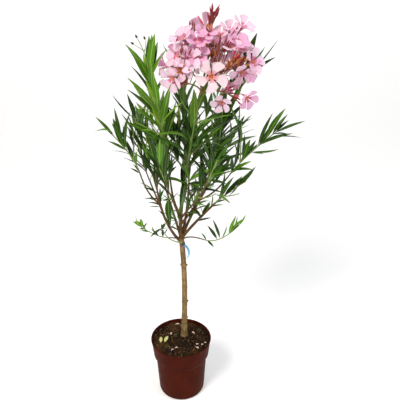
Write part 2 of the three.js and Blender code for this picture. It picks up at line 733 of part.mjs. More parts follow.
// Each flower or bud takes the first of a few places where it touches nothing, or is left out
function growBlooms({ name, head, index, curve, parts }) {
  const openTo = head.openTo ?? AXIS_LAST;
  for (let i = 0; i < head.flowers + head.buds; i++) {
    const isBud = i >= head.flowers;
    const t = isBud
      ? lerp(AXIS_FIRST_BUD, AXIS_LAST, (i - head.flowers) / head.buds)
      : lerp(openTo, AXIS_FIRST_FLOWER * openTo, i / head.flowers);
    const atEnd = i === 0 && openTo === AXIS_LAST;
    const open = isBud ? BUD_HABIT.open : atEnd ? END_FLOWER_OPEN : FLOWER_HABIT.open;
    for (let tries = 0; tries < BLOOM_TRIES; tries++) {
      const bloom = bloomAt(curve, t, isBud, open, [index, i, tries]);
      if (touches(bloom, name) || crowds(bloom, name)) continue;
      stand(name, "blade", bloom);
      parts.push(bloom);
      break;
    }
  }
}

// The finish of each kind of piece: its colour and how rough it is
function finish(color, roughness) {
  return new THREE.MeshStandardMaterial({ color, roughness, metalness: 0 });
}
const TERRACOTTA = finish(0x7a3018, 0.5);
const EARTH = finish(0x2b2118, 0.95);
const BARK = finish(0x93795a, 0.85);
const YOUNG_BARK = finish(0x6b5236, 0.8);
const LEAF = finish(0x3a6a1e, 0.5);
const BLOOM = finish(0xf3b6d2, 0.6);
const STRAP = finish(0x3f9fd0, 0.4);

// Limbs first, then every stem and axis, then flowers, twigs and leaves round them
growLimbs();
const label = strap();
stand("label_strap", "limb", label);
const shoots = SHOOTS.map(growStem);
const leader = shoots[0];
addLimb(STALK.name, growOn(leader.curve, STALK.tip), tapered(STALK.radii), BOUGH_SIDES, BOUGH_RINGS);
const heads = HEADS.map((head, index) => growAxis(head, index, limbs.get(STALK.name)));
heads.forEach(growBlooms);
shoots.forEach(growTwigs);
shoots.forEach(growLeaves);

const plant = new THREE.Group();
plant.add(meshOf(pot(), "pot", TERRACOTTA), meshOf(soil(), "soil", EARTH));
for (const [name, limb] of limbs) {
  plant.add(meshOf(limb.solid, name, name === "trunk" ? BARK : YOUNG_BARK));
}
plant.add(meshOf(label, "label_strap", STRAP));
for (const { name, parts } of shoots) plant.add(meshOf(whole(wasm.Manifold.union(parts)), name, LEAF));
for (const { name, parts } of heads) plant.add(meshOf(whole(wasm.Manifold.union(parts)), name, BLOOM));

export default plant;
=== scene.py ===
# %% [markdown]
# # A potted oleander
# The real plant is a young oleander, grown as a small standard: a bare trunk in a plastic nursery pot, thin
# boughs that fork from its top, whorls of narrow leaves, and one large truss of pink flowers.
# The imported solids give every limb, leaf and flower its place. This lesson grows the plant again by the same
# rule, a little finer, and gives each surface its finish. The first cell loads the solids.

# %% Load the frame
import math

import bmesh
import bpy
import numpy as np
from mathutils import Matrix, Vector, noise
from mathutils.kdtree import KDTree


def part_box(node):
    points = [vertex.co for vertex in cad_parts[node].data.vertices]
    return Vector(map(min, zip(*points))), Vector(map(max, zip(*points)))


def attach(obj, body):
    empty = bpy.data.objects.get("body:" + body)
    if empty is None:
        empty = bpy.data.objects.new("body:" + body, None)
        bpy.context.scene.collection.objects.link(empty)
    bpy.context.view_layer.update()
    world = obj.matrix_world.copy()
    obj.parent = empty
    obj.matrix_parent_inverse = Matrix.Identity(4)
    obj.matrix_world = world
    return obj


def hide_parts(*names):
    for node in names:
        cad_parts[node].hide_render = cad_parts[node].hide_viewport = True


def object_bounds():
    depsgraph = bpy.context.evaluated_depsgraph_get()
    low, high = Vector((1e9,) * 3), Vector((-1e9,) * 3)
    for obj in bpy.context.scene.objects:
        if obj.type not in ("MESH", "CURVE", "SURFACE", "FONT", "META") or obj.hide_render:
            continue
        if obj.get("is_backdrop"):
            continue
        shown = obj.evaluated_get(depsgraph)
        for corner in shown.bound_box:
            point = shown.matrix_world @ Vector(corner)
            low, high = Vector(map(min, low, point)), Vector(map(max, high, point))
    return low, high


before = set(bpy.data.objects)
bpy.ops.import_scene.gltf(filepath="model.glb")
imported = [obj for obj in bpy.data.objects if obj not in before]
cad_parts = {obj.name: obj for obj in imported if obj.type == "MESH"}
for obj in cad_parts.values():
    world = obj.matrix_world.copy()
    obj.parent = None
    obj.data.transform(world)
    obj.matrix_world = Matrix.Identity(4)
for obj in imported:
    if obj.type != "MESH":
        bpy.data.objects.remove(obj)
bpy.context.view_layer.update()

# %% [markdown]
# ## Camera and studio
# The photo looks down at the pot from about eye level, close to the plant, so near things look larger. The
# camera stands at that place. Its lens is worked out from how far apart the pot's two ends look.
# The plant stands on a plain pale floor that curves up behind it. A pale sky lights it from all sides, and two
# large soft lamps from the upper left and from the right give the leaves their gloss and shade.

# %% Camera
MM = 0.001
CAMERA_PLACE = (0.054, -1.103, 1.075)
CAMERA_DOWN = 23.3
CAMERA_LENS = 43.2
SENSOR = 36.0

camera_data = bpy.data.cameras.new("camera")
camera_data.lens = CAMERA_LENS
camera_data.sensor_width = SENSOR
camera_data.clip_start = 0.01
camera = bpy.data.objects.new("camera", camera_data)
camera.location = CAMERA_PLACE
camera.rotation_euler = (math.radians(90 - CAMERA_DOWN), 0, 0)
bpy.context.scene.collection.objects.link(camera)
bpy.context.scene.camera = camera
print("camera at", CAMERA_PLACE)


# %% Colour and node helpers
def linear(code):
    """A linear colour from an sRGB hex code"""
    parts = [int(code[i:i + 2], 16) / 255 for i in (1, 3, 5)]
    return (*[c / 12.92 if c <= 0.04045 else ((c + 0.055) / 1.055) ** 2.4 for c in parts], 1.0)


def feed(tree, node, inputs):
    """Gives each input of a node a value or the output that feeds it. A node stands for its first output."""
    for key, value in inputs.items():
        if isinstance(value, bpy.types.Node):
            value = value.outputs[0]
        if isinstance(value, bpy.types.NodeSocket):
            tree.links.new(value, node.inputs[key])
        else:
            node.inputs[key].default_value = value


def add_node(tree, kind, inputs=None, stops=(), **settings):
    """Adds a node with its settings, the stops of a ramp, and what feeds each input"""
    node = tree.nodes.new(kind)
    for key, value in settings.items():
        setattr(node, key, value)
    for i, (place, code) in enumerate(stops):
        stop = node.color_ramp.elements[i] if i < 2 else node.color_ramp.elements.new(place)
        stop.position = place
        stop.color = linear(code)
    feed(tree, node, inputs or {})
    return node


def new_material(name):
    """A new material, its tree and its Principled surface"""
    material = bpy.data.materials.new(name)
    material.use_nodes = True
    return material, material.node_tree, material.node_tree.nodes["Principled BSDF"]


def link_object(name, data):
    """A new object in the scene, at the origin"""
    obj = bpy.data.objects.new(name, data)
    bpy.context.scene.collection.objects.link(obj)
    return obj


# %% Floor, backdrop and light
FLOOR_HALF = 3.2
BACK_RADIUS = 0.9
BACK_HEIGHT = 3.4
BACK_STEPS = 16
LAMP_TARGET = Vector((0, 0, 0.7))
# name, place, size, power, colour
LAMPS = [
    ("key_lamp", (-1.3, -1.9, 2.9), 1.3, 84, "#fffaf2"),
    ("side_lamp", (2.3, -1.0, 2.2), 1.6, 30, "#f4f7ff"),
]

# one smooth sheet: the floor, a quarter turn up behind the plant, and the wall
profile = [(-FLOOR_HALF, 0.0)]
for step in range(BACK_STEPS + 1):
    angle = math.radians(90 * step / BACK_STEPS)
    profile.append((FLOOR_HALF - BACK_RADIUS * (1 - math.sin(angle)), BACK_RADIUS * (1 - math.cos(angle))))
profile.append((FLOOR_HALF, BACK_HEIGHT))
sheet = bpy.data.meshes.new("backdrop")
sheet.from_pydata([(x, y, z) for y, z in profile for x in (-2 * FLOOR_HALF, 2 * FLOOR_HALF)], [],
                  [(2 * i, 2 * i + 1, 2 * i + 3, 2 * i + 2) for i in range(len(profile) - 1)])
sheet.shade_smooth()
paper, tree, surface = new_material("matt_white_studio_paper")
feed(tree, surface, {"Base Color": linear("#fcfcfb"), "Roughness": 0.9, "Emission Color": linear("#ffffff"),
                     "Emission Strength": 0.2})
sheet.materials.append(paper)
link_object("backdrop", sheet)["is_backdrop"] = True

for name, place, size, power, colour in LAMPS:
    lamp = bpy.data.lights.new(name, "AREA")
    lamp.shape = "DISK"
    lamp.size = size
    lamp.energy = power
    lamp.color = linear(colour)[:3]
    obj = link_object(name, lamp)
    obj.location = place
    obj.rotation_euler = (LAMP_TARGET - Vector(place)).to_track_quat("-Z", "Y").to_euler()
world = bpy.data.worlds.new("pale_sky")
world.use_nodes = True
feed(world.node_tree, world.node_tree.nodes["Background"], {"Color": linear("#fbfcff"), "Strength": 0.42})
bpy.context.scene.world = world
bpy.context.scene.view_settings.view_transform = "Standard"
print("studio lamps:", [row[0] for row in LAMPS])

# %% [markdown]
# ## The plant's rule
# A plant grows by repeating one rule, so the same rule is written here as in the solids. Every number that a
# real plant would leave to chance comes from a small hash of the leaf's place in the plant: whoever asks, and
# in whatever order, the same leaf gets the same number. Limbs are Bezier curves read by shares of their
# length. All of the growth is worked out in millimetres, and meshes are made in metres at the very end.

# %% Chance, curves and directions
SEED = 20417
GAP = 0.3
UP = np.array([0.0, 0.0, 1.0])
EAST = np.array([1.0, 0.0, 0.0])


def chance(*keys):
    """A repeatable number from 0 to 1 for a place in the plant"""
    mask = 0xFFFFFFFF
    h = SEED
    for key in keys:
        h = ((h ^ (key + 0x9E3779B9)) * 0x85EBCA6B) & mask
        h ^= h >> 13
        h = (h * 0xC2B2AE35) & mask
        h ^= h >> 16
    return h / 2**32


def lerp(a, b, t):
    return a + (b - a) * t


def between(span, *keys):
    return lerp(span[0], span[1], chance(*keys))


def wobble(most, *keys):
    return between((-most, most), *keys)


def unit(v):
    return v / np.linalg.norm(v)


def bezier(points, t):
    """Points of a Bezier curve of any order, for an array of parameters"""
    t = np.atleast_1d(t)[:, None]
    rows = [np.asarray(p, float)[None] for p in points]
    while len(rows) > 1:
        rows = [a * (1 - t) + b * t for a, b in zip(rows, rows[1:])]
    return rows[0]


class Curve:
    """A Bezier curve that is read by shares of its length"""

    def __init__(self, *points):
        self.points = [np.array(p, float) for p in points]
        self.t = np.linspace(0, 1, 201)
        steps = np.diff(bezier(self.points, self.t), axis=0)
        self.run = np.concatenate([[0], np.cumsum(np.linalg.norm(steps, axis=1))])
        self.length = self.run[-1]

    def parameter(self, share):
        return np.interp(np.atleast_1d(share) * self.length, self.run, self.t)

    def places(self, share):
        return bezier(self.points, self.parameter(share))

    def headings(self, share):
        legs = [b - a for a, b in zip(self.points, self.points[1:])]
        ways = bezier(legs, self.parameter(share)) if len(legs) > 1 else np.array(legs)
        return ways / np.linalg.norm(ways, axis=1)[:, None]

    def place(self, share):
        return self.places(share)[0]

    def heading(self, share):
        return self.headings(share)[0]


def turned(v, axis, angle):
    """A vector turned about an axis by an angle in radians"""
    c, s = math.cos(angle), math.sin(angle)
    return v * c + np.cross(axis, v) * s + axis * np.dot(axis, v) * (1 - c)


def tipped(along, out, degrees):
    """The direction `along` tipped towards `out`"""
    a = math.radians(degrees)
    return along * math.cos(a) + out * math.sin(a)


def around(along, angle):
    """A unit vector square to `along`, turned by `angle` radians about it"""
    guide = UP if abs(along[2]) < 0.95 else EAST
    return turned(unit(np.cross(along, guide)), along, angle)


def compass(degrees):
    """A level direction, by its degrees round from the X axis"""
    return turned(EAST, UP, math.radians(degrees))


print("first draws:", [round(chance(i), 3) for i in range(4)])

# %% [markdown]
# ## Limbs
# The trunk rises from the soil with a slight lean and forks near its top. Each bough leaves its parent at a
# share of the parent's length and bends towards its own tip. These are the limbs of the solids, by name.

# %% The trunk and the boughs
SOIL_TOP = 170
TRUNK_FOOT = np.array([9.0, 16.0, SOIL_TOP + GAP])
TRUNK_MIDDLE = np.array([17.0, 22.0, 305.0])
TRUNK_FORK = np.array([5.0, 9.0, 492.0])
TRUNK_RISE = 0.6
TRUNK_RADII = (8, 6.8)
ROOT_FLARE = 3.4
FLARE_FALL = 22
FORK_ANGLE = 38
BEND_SHARE = 0.42

# name, parent, share of the parent's length, tip, radii at base and tip
LIMBS = [
    ("bough_centre", "trunk", 1, (8, 5, 580), (5.2, 3.8)),
    ("bough_left", "trunk", 0.945, (-48, -8, 606), (4, 2.8)),
    ("bough_right", "trunk", 0.985, (92, -18, 600), (4.2, 2.6)),
    ("bough_back", "trunk", 0.992, (24, 42, 604), (3.8, 2.8)),
    ("bough_back_left", "trunk", 0.976, (-34, 74, 592), (3.6, 2.4)),
    ("bough_back_right", "trunk", 0.98, (72, 84, 598), (3.6, 2.4)),
    ("bough_right_middle", "bough_centre", 0.42, (56, 4, 606), (3.2, 2.6)),
    ("bough_left_centre", "bough_centre", 0.7, (-18, 10, 632), (3, 2.4)),
    ("bough_right_upper", "bough_right_middle", 0.7, (66, 20, 650), (2.4, 2.1)),
    ("bough_far_right", "bough_right_middle", 0.9, (122, -2, 662), (2.2, 1.8)),
    ("bough_front_left", "bough_centre", 0.55, (-8, -50, 610), (2.8, 2.1)),
    ("bough_front_right", "bough_centre", 0.6, (40, -56, 616), (2.8, 2.1)),
    ("bough_left_upper", "bough_left", 0.8, (-64, 8, 668), (2.2, 1.9)),
    ("bough_left_outer", "bough_left", 0.9, (-88, -26, 676), (2.2, 1.8)),
    ("bough_left_rear", "bough_left", 0.66, (-78, 50, 640), (2.2, 1.8)),
    ("bough_back_upper", "bough_back", 0.8, (70, 52, 668), (2.4, 2)),
    ("twig_low_right", "trunk", 0.965, (64, -34, 506), (1.9, 1.5)),
    ("twig_low_left", "trunk", 0.962, (-26, -12, 500), (1.8, 1.4)),
    ("twig_low_back", "trunk", 0.96, (28, 76, 520), (1.9, 1.5)),
]


def bend(start, heading, tip):
    """From a start along a heading to a tip, bending once"""
    tip = np.array(tip, float)
    return Curve(start, start + heading * np.linalg.norm(tip - start) * BEND_SHARE, tip)


def grow_on(curve, tip):
    """A curve that grows straight on from the end of another one"""
    heading = curve.heading(1)
    return bend(curve.place(1) + heading * GAP, heading, tip)


def fork_off(curve, share, tip):
    """A curve that forks off another one, on the side of its own tip"""
    start, along = curve.place(share), curve.heading(share)
    out = np.array(tip, float) - start
    out = unit(out - along * np.dot(along, out))
    return bend(start, tipped(along, out, FORK_ANGLE), tip)


def tapered(radii):
    return lambda t: lerp(radii[0], radii[1], t)


def trunk_radius(t):
    return lerp(*TRUNK_RADII, t) + ROOT_FLARE * np.exp(-np.asarray(t) * FLARE_FALL)


rise = (TRUNK_MIDDLE[2] - TRUNK_FOOT[2]) * TRUNK_RISE
trunk_curve = Curve(TRUNK_FOOT, TRUNK_FOOT + UP * rise, TRUNK_MIDDLE + UP * rise / 2, TRUNK_FORK)
limbs = {"trunk": (trunk_curve, trunk_radius)}
for name, parent, share, tip, radii in LIMBS:
    stock = limbs[parent][0]
    curve = grow_on(stock, tip) if share == 1 else fork_off(stock, share, tip)
    limbs[name] = (curve, tapered(radii))
print("limbs:", len(limbs), "trunk length", round(trunk_curve.length), "mm")

# %% [markdown]
# ## What the solids kept
# In the solids a leaf, twig or flower that would leave its space or touch another is skipped. The tip of each
# one that was kept is a corner of its solid, so a quick search for the nearest corner tells which they were.
# The visual leaves are narrower than the solid ones, so some that were skipped there have room here. They may
# grow back as long as they stay within their mass's own reach and clear of limbs and flowers.

# %% Corners of the solids
corner_trees = {}


def corners(node):
    """A search tree of one solid's corners, in metres"""
    if node not in corner_trees:
        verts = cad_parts[node].data.vertices
        tree = KDTree(len(verts))
        for i, v in enumerate(verts):
            tree.insert(v.co, i)
        tree.balance()
        corner_trees[node] = tree
    return corner_trees[node]


def kept(node, place, room=0.25):
    """Whether the solid has a corner within `room` millimetres of a place"""
    return corners(node).find(Vector(place * MM))[2] < room * MM


reaches = {n: [np.array(c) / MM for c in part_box(n)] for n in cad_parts}


def in_reach(node, place, spare=2.0):
    low, high = reaches[node]
    return bool(np.all(place > low - spare) and np.all(place < high + spare))


print("corners of the leader:", len(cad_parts["leaves_leader"].data.vertices))

# %% [markdown]
# ## Leaves
# Oleander leaves stand in whorls of three, each whorl turned against the one below. A leaf is a stiff, narrow
# lance, widest just before its middle, channelled along a pale midrib, bowed up and then drooping at its tip.
# On each leafy shoot the whorls run up the stem and up a few side twigs. `tone` says how fresh the shoot's
# colour is, from 0 for old dark leaves to 1 for the bright new ones.

# %% The leafy shoots
STEM_TIP_RADIUS = 1.1
STEM_TAPER = 0.95
TWIG_SPAN = (0.12, 0.55)
TWIG_ANGLE = 42
TWIG_REACH = (0.5, 0.68)
TWIG_LIFT = 0.22
TWIG_RADII = (1.5, 1)
TWIG_WHORLS = 0.45
TWIG_FIRST_WHORL = 0.3
TWIG_LEAF = 0.9
GOLDEN_TURN = 2.4
WHORL = 3
WHORL_TURN = 60
TURN_WOBBLE = 14
OPEN_WOBBLE = 8
LEAF_LIFT = 0.16
FIRST_WHORL = 0.1
LAST_WHORL = 0.985
LEAF_AT_FOOT = 0.94
LEAF_AT_TIP = 0.76
LEAF_RANGE = (0.82, 1.12)
LEAF_BOW = (0.015, 0.05)
LEAF_DROOP = (0.02, 0.16)
LEAF_ARCH = (0.03, 0.1)
ROOT_SUNK = 0.5

# name, limb, tip, length of leaves, whorls, side twigs, how far the lowest and the highest leaves spread in
# degrees, tone, and where the first whorl stands if not at the common share
SHOOT_KEYS = ("name", "limb", "tip", "leaf", "whorls", "twigs", "spread", "rake", "tone", "first")
SHOOTS = [{"first": FIRST_WHORL, **dict(zip(SHOOT_KEYS, row))} for row in [
    ("leaves_leader", "bough_centre", (54, -62, 872), 130, 13, 0, 76, 40, 0.5),
    ("leaves_left_centre", "bough_left_centre", (-60, -8, 902), 124, 14, 1, 50, 28, 0.73),
    ("leaves_front_left", "bough_front_left", (-38, -96, 724), 98, 5, 2, 68, 30, 0.48),
    ("leaves_front_right", "bough_front_right", (92, -98, 738), 104, 5, 2, 68, 32, 0.34, 0.26),
    ("leaves_left", "bough_left", (-46, -22, 752), 96, 7, 1, 54, 20, 0.42),
    ("leaves_left_upper", "bough_left_upper", (-98, 2, 808), 96, 5, 1, 46, 14, 0.4),
    ("leaves_left_outer", "bough_left_outer", (-154, -46, 790), 74, 5, 1, 46, 12, 0.34),
    ("leaves_left_rear", "bough_left_rear", (-112, 86, 770), 88, 5, 2, 48, 16, 0.28),
    ("leaves_right_upper", "bough_right_upper", (108, 8, 854), 122, 9, 1, 54, 18, 0.4),
    ("leaves_right_middle", "bough_right_middle", (76, -24, 722), 96, 6, 0, 60, 24, 0.3, 0.22),
    ("leaves_far_right", "bough_far_right", (236, -4, 778), 90, 6, 1, 38, 14, 0.4),
    ("leaves_right", "bough_right", (164, -36, 664), 72, 5, 1, 50, 16, 0.36),
    ("leaves_back", "bough_back", (4, 70, 880), 122, 11, 2, 52, 18, 0.32),
    ("leaves_back_upper", "bough_back_upper", (166, 48, 896), 112, 9, 0, 42, 14, 0.3),
    ("leaves_back_left", "bough_back_left", (-48, 156, 772), 100, 6, 2, 50, 16, 0.34),
    ("leaves_back_right", "bough_back_right", (104, 158, 776), 104, 6, 2, 50, 16, 0.34),
    ("leaves_low_right", "twig_low_right", (148, -72, 566), 46, 4, 0, 60, 16, 0.66, 0.42),
    ("leaves_low_left", "twig_low_left", (-96, -16, 534), 42, 4, 0, 72, 20, 0.6, 0.4),
    ("leaves_low_back", "twig_low_back", (52, 152, 600), 60, 4, 1, 62, 16, 0.4),
]]


def leaf_at(root, along, radius, turn, open_angle, longest, keys):
    """One leaf of a whorl, by the rule of the solids"""
    out = around(along, turn)
    angle = open_angle + wobble(OPEN_WOBBLE, *keys, 3)
    heading = unit(tipped(along, out, angle) + UP * LEAF_LIFT)
    across = unit(np.cross(heading, out))
    face = unit(np.cross(across, heading))
    if np.dot(face, along) < 0:
        face = -face
    length = longest * between(LEAF_RANGE, *keys, 4)
    bow = length * between(LEAF_BOW, *keys, 5)
    droop = length * between(LEAF_DROOP, *keys, 6) * math.sin(math.radians(angle))
    return {
        "root": root - heading * ROOT_SUNK * radius,
        "along": heading, "face": face, "length": length, "bow": bow, "droop": droop, "keys": keys,
        "arch": length * between(LEAF_ARCH, *keys, 12) * math.sin(math.radians(angle)) ** 0.5,
    }


def leaf_tip(leaf):
    return leaf["root"] + leaf["along"] * leaf["length"] + leaf["face"] * (leaf["bow"] - leaf["droop"])


def whorls_on(curve, radius_at, shoot, keys, count, first, leaf_size):
    """The whorls of leaves along one stem or twig"""
    leaves = []
    for k in range(count):
        t = lerp(first, LAST_WHORL, (k + 0.5 * chance(*keys, k, 1)) / max(count - 0.5, 1))
        open_angle = lerp(shoot["spread"], shoot["rake"], (k + 0.5) / count)
        longest = leaf_size * lerp(LEAF_AT_FOOT, LEAF_AT_TIP, k / count)
        root, along = curve.place(t), curve.heading(t)
        for j in range(WHORL):
            turn = WHORL_TURN * k + (360 / WHORL) * j + wobble(TURN_WOBBLE, *keys, k, j, 2)
            leaf = leaf_at(root, along, radius_at(t), math.radians(turn), open_angle, longest, (*keys, k, j))
            leaf["age"] = 1 - t
            leaves.append(leaf)
    return leaves


def twig_on(stem, share, turn, angle, reach, lift):
    """A twig that leaves a stem at an angle, turned round it, and bends up by its lift"""
    start, along = stem.place(share), stem.heading(share)
    heading = tipped(along, around(along, turn), angle)
    return bend(start, heading, start + heading * reach * (1 - lift) + UP * reach * lift)


def side_twigs(stem, shoot, index):
    """The side twigs of a stem, in turn round it"""
    first = between((0, 2 * math.pi), index, 7)
    for i in range(shoot["twigs"]):
        share = lerp(*TWIG_SPAN, (i + 0.4) / shoot["twigs"])
        reach = stem.length * between(TWIG_REACH, index, i, 8)
        yield twig_on(stem, share, GOLDEN_TURN * i + first, TWIG_ANGLE, reach, TWIG_LIFT), (index, 30 + i)


stems = {}
for shoot in SHOOTS:
    bough, bough_radius = limbs[shoot["limb"]]
    stems[shoot["name"]] = (grow_on(bough, shoot["tip"]),
                            tapered((bough_radius(1) * STEM_TAPER, STEM_TIP_RADIUS)))
print("leafy stems:", len(stems))

# %% [markdown]
# ## Flower heads
# The leading shoot ends in a stalk with several heads. Each head has an axis with open flowers along it and
# buds towards its end. In the solids each flower takes the first of a few places where it touches nothing,
# so here the same places are tried, and the one whose petal tips are corners of the solid is the right one.

# %% The places of flowers and buds
FLOWER_RADIUS = 31
FUNNEL_LENGTH = 19
LOBE_RISE = 0.24
PETALS = 5
LOBE_STEP = 2 * math.pi / PETALS
BUD_LENGTH = 21
AXIS_RADII = (1.7, 1.1)
AXIS_LAST = 0.97
AXIS_FIRST_FLOWER = 0.3
AXIS_FIRST_BUD = 0.6
BLOOM_LIFT = 0.15
BLOOM_SUNK = 0.8
BLOOM_TRIES = 12
BLOOM_TURN = (0, 6)
BLOOM_OPENING = (0.2, 0.6)
FLOWER_HABIT = {"open": (40, 86), "stalk": (30, 50), "size": (0.84, 1.04)}
END_FLOWER_OPEN = (0, 14)
BUD_HABIT = {"open": (10, 40), "stalk": (10, 22), "size": (0.6, 1)}
STALK_TIP = (74, -58, 962)
STALK_RADII = (2.6, 1.9)

HEAD_KEYS = ("name", "at", "tip", "flowers", "buds", "open_to")
HEADS = [dict(zip(HEAD_KEYS, row)) for row in [
    ("flowers_left", 0.25, (6, -80, 942), 10, 5, AXIS_LAST),
    ("flowers_left_low", 0.12, (12, -98, 904), 4, 3, AXIS_LAST),
    ("flowers_front", 0.3, (80, -104, 908), 5, 5, AXIS_LAST),
    ("flowers_low_right", 0.06, (128, -98, 876), 3, 4, AXIS_LAST),
    ("flowers_right", 0.36, (144, -62, 930), 9, 5, AXIS_LAST),
    ("flowers_right_top", 0.66, (114, -40, 976), 7, 4, AXIS_LAST),
    ("flowers_back", 0.5, (58, -4, 950), 6, 3, AXIS_LAST),
    ("flowers_top", 0.98, (81, -58, 1032), 4, 12, 0.4),
]]


def bloom_at(curve, t, is_bud, open_span, keys):
    """One try at a flower or bud: its foot, way, mouth or base, size, turn and how far it has opened"""
    along = curve.heading(t)
    habit = BUD_HABIT if is_bud else FLOWER_HABIT
    out = around(along, between((0, 2 * math.pi), *keys, 40))
    way = unit(tipped(along, out, between(open_span, *keys, 41)) + UP * BLOOM_LIFT)
    foot = curve.place(t) - way * BLOOM_SUNK
    return {
        "foot": foot, "way": way, "bud": is_bud, "mouth": foot + way * between(habit["stalk"], *keys, 42),
        "size": between(habit["size"], *keys, 43), "turn": between(BLOOM_TURN, *keys, 44), "keys": keys,
        "open": between(BLOOM_OPENING, *keys, 53),
    }


def petal_tips(bloom):
    """The tips of a flower's lobes in the solids, or the tip of a bud"""
    if bloom["bud"]:
        return [bloom["mouth"] + bloom["way"] * BUD_LENGTH * bloom["size"]]
    outs = [around(bloom["way"], bloom["turn"] - LOBE_STEP * (i + 1 / 3)) for i in range(PETALS)]
    return [bloom["mouth"] + (bloom["way"] * LOBE_RISE + out) * FLOWER_RADIUS * bloom["size"] for out in outs]


stalk_curve = grow_on(stems["leaves_leader"][0], STALK_TIP)
head_axes = {}
blooms = []
for index, head in enumerate(HEADS):
    axis = fork_off(stalk_curve, head["at"], head["tip"])
    head_axes[head["name"]] = axis
    for i in range(head["flowers"] + head["buds"]):
        is_bud = i >= head["flowers"]
        if is_bud:
            t = lerp(AXIS_FIRST_BUD, AXIS_LAST, (i - head["flowers"]) / head["buds"])
        else:
            t = lerp(head["open_to"], AXIS_FIRST_FLOWER * head["open_to"], i / head["flowers"])
        at_end = i == 0 and head["open_to"] == AXIS_LAST
        span = BUD_HABIT["open"] if is_bud else END_FLOWER_OPEN if at_end else FLOWER_HABIT["open"]
        for tries in range(BLOOM_TRIES):
            bloom = bloom_at(axis, t, is_bud, span, (index, i, tries))
            found = sum(kept(head["name"], tip) for tip in petal_tips(bloom))
            if found >= (1 if is_bud else 2):
                bloom["head"] = head["name"]
                blooms.append(bloom)
                break
print("flowers and buds of the solids:", len(blooms))

# %% [markdown]
# The photo shows some of the flowers plainly. These turn and shift a little from where the rule grew them, on
# a curved stalk from the nearest part of their head. A few that would cover them are left out. Groups of buds
# and of small russet calyces, whose flowers have dropped, show in the middle of the truss.

# %% Flowers and buds as the photo shows them
# by head and number of the flower: its mouth, the way it faces, its size, how far it has opened, 1 being flat
SHOWN = {
    "flowers_left": {
        0: ((20, -76, 990), (-0.5, -0.45, 0.75), 0.98, 0.35),
        1: ((33, -108, 951), (-0.15, -0.9, 0.4), 0.95, 0.5),
        3: ((10, -90, 957), (-0.65, -0.6, 0.35), 0.95, 0.45),
        4: ((50, -92, 985), (0.1, -0.65, 0.75), 0.92, 0.3)},
    "flowers_left_low": {
        0: ((-3, -104, 915), (-0.55, -0.75, -0.35), 0.98, 0.65),
        1: ((20, -108, 934), (-0.35, -0.85, -0.1), 0.85, 0.5),
        2: ((48, -100, 960), (0.05, -0.85, 0.5), 0.9, 0.45)},
    "flowers_front": {
        0: ((77, -124, 922), (-0.08, -0.93, 0.3), 1.1, 1.0), 1: ((79, -64, 957), (0.1, -0.8, 0.5), 0.85, 0.45),
        2: ((114, -84, 975), (0.2, -0.6, 0.8), 0.88, 0.25)},
    "flowers_low_right": {
        0: ((153, -90, 872), (0.5, -0.8, -0.35), 0.84, 0.42),
        1: ((98, -104, 866), (-0.1, -0.88, -0.45), 0.8, 0.44)},
    "flowers_right": {
        0: ((163, -82, 945), (0.65, -0.65, 0.35), 0.95, 0.6),
        1: ((140, -70, 966), (0.3, -0.4, 0.85), 0.95, 0.3),
        2: ((161, -78, 928), (0.7, -0.55, -0.2), 0.9, 0.5),
        4: ((140, -90, 925), (0.15, -0.75, -0.6), 0.98, 0.65)},
    "flowers_right_top": {
        0: ((143, -45, 1011), (0.5, -0.4, 0.75), 0.95, 0.45),
        2: ((116, -52, 1004), (0.1, -0.45, 0.85), 0.85, 0.25),
        5: ((130, -78, 982), (0.35, -0.6, 0.7), 0.9, 0.35)},
    "flowers_top": {1: ((64, -80, 996), (0.2, -0.55, 0.8), 0.88, 0.3)},
    "flowers_back": {},
}
LEFT_OUT = [("flowers_front", 4), ("flowers_low_right", 2)]
# head, middle of the group, how far it spreads, the way the buds point, their number, their kind
BUD_GROUPS = [
    ("flowers_left", (38, -70, 1010), 5, (0.05, -0.1, 1), 3, "maroon"),
    ("flowers_front", (99, -92, 982), 7, (0.15, -0.2, 1), 5, "maroon"),
    ("flowers_front", (116, -104, 950), 13, (0.3, -0.4, 0.7), 9, "russet"),
    ("flowers_right", (142, -96, 942), 12, (0.7, -0.4, 0.3), 8, "russet"),
    ("flowers_front", (106, -92, 899), 1, (0.5, -0.4, -0.6), 1, "rose"),
    ("flowers_front", (78, -84, 964), 9, (0.1, -0.15, 1), 7, "russet"),
    ("flowers_front", (124, -106, 957), 7, (0.5, -0.4, 0.8), 3, "scarlet"),
    ("flowers_right", (136, -102, 946), 9, (0.6, -0.4, 0.5), 5, "russet"),
    ("flowers_left_low", (24, -108, 932), 9, (-0.5, -0.6, 0.1), 4, "russet"),
    ("flowers_left", (20, -98, 975), 16, (0.3, -0.5, 0.8), 5, "maroon"),
    ("flowers_left_low", (34, -112, 950), 18, (0.2, -0.6, 0.8), 6, "maroon"),
    ("flowers_front", (100, -88, 978), 12, (0.2, -0.3, 1), 5, "maroon"),
    ("flowers_right", (132, -104, 952), 12, (0.5, -0.5, 0.6), 4, "maroon"),
    ("flowers_right_top", (128, -70, 995), 16, (0.2, -0.5, 0.9), 4, "maroon"),
    ("flowers_top", (71, -76, 1008), 6, (0.1, -0.3, 1), 4, "russet"),
    ("flowers_left_low", (16, -104, 926), 7, (-0.6, -0.6, 0.3), 5, "russet"),
    ("flowers_top", (58, -60, 1018), 2, (-0.45, -0.1, 0.8), 1, "rose"),
    ("flowers_top", (76, -72, 978), 11, (0.1, -0.3, 1), 6, "russet"),
]
BUD_KIND_SIZE = {"rose": (0.85, 1), "scarlet": (0.7, 0.9), "maroon": (0.5, 0.75), "russet": (0.35, 0.55)}
BUD_LEAN = 0.35


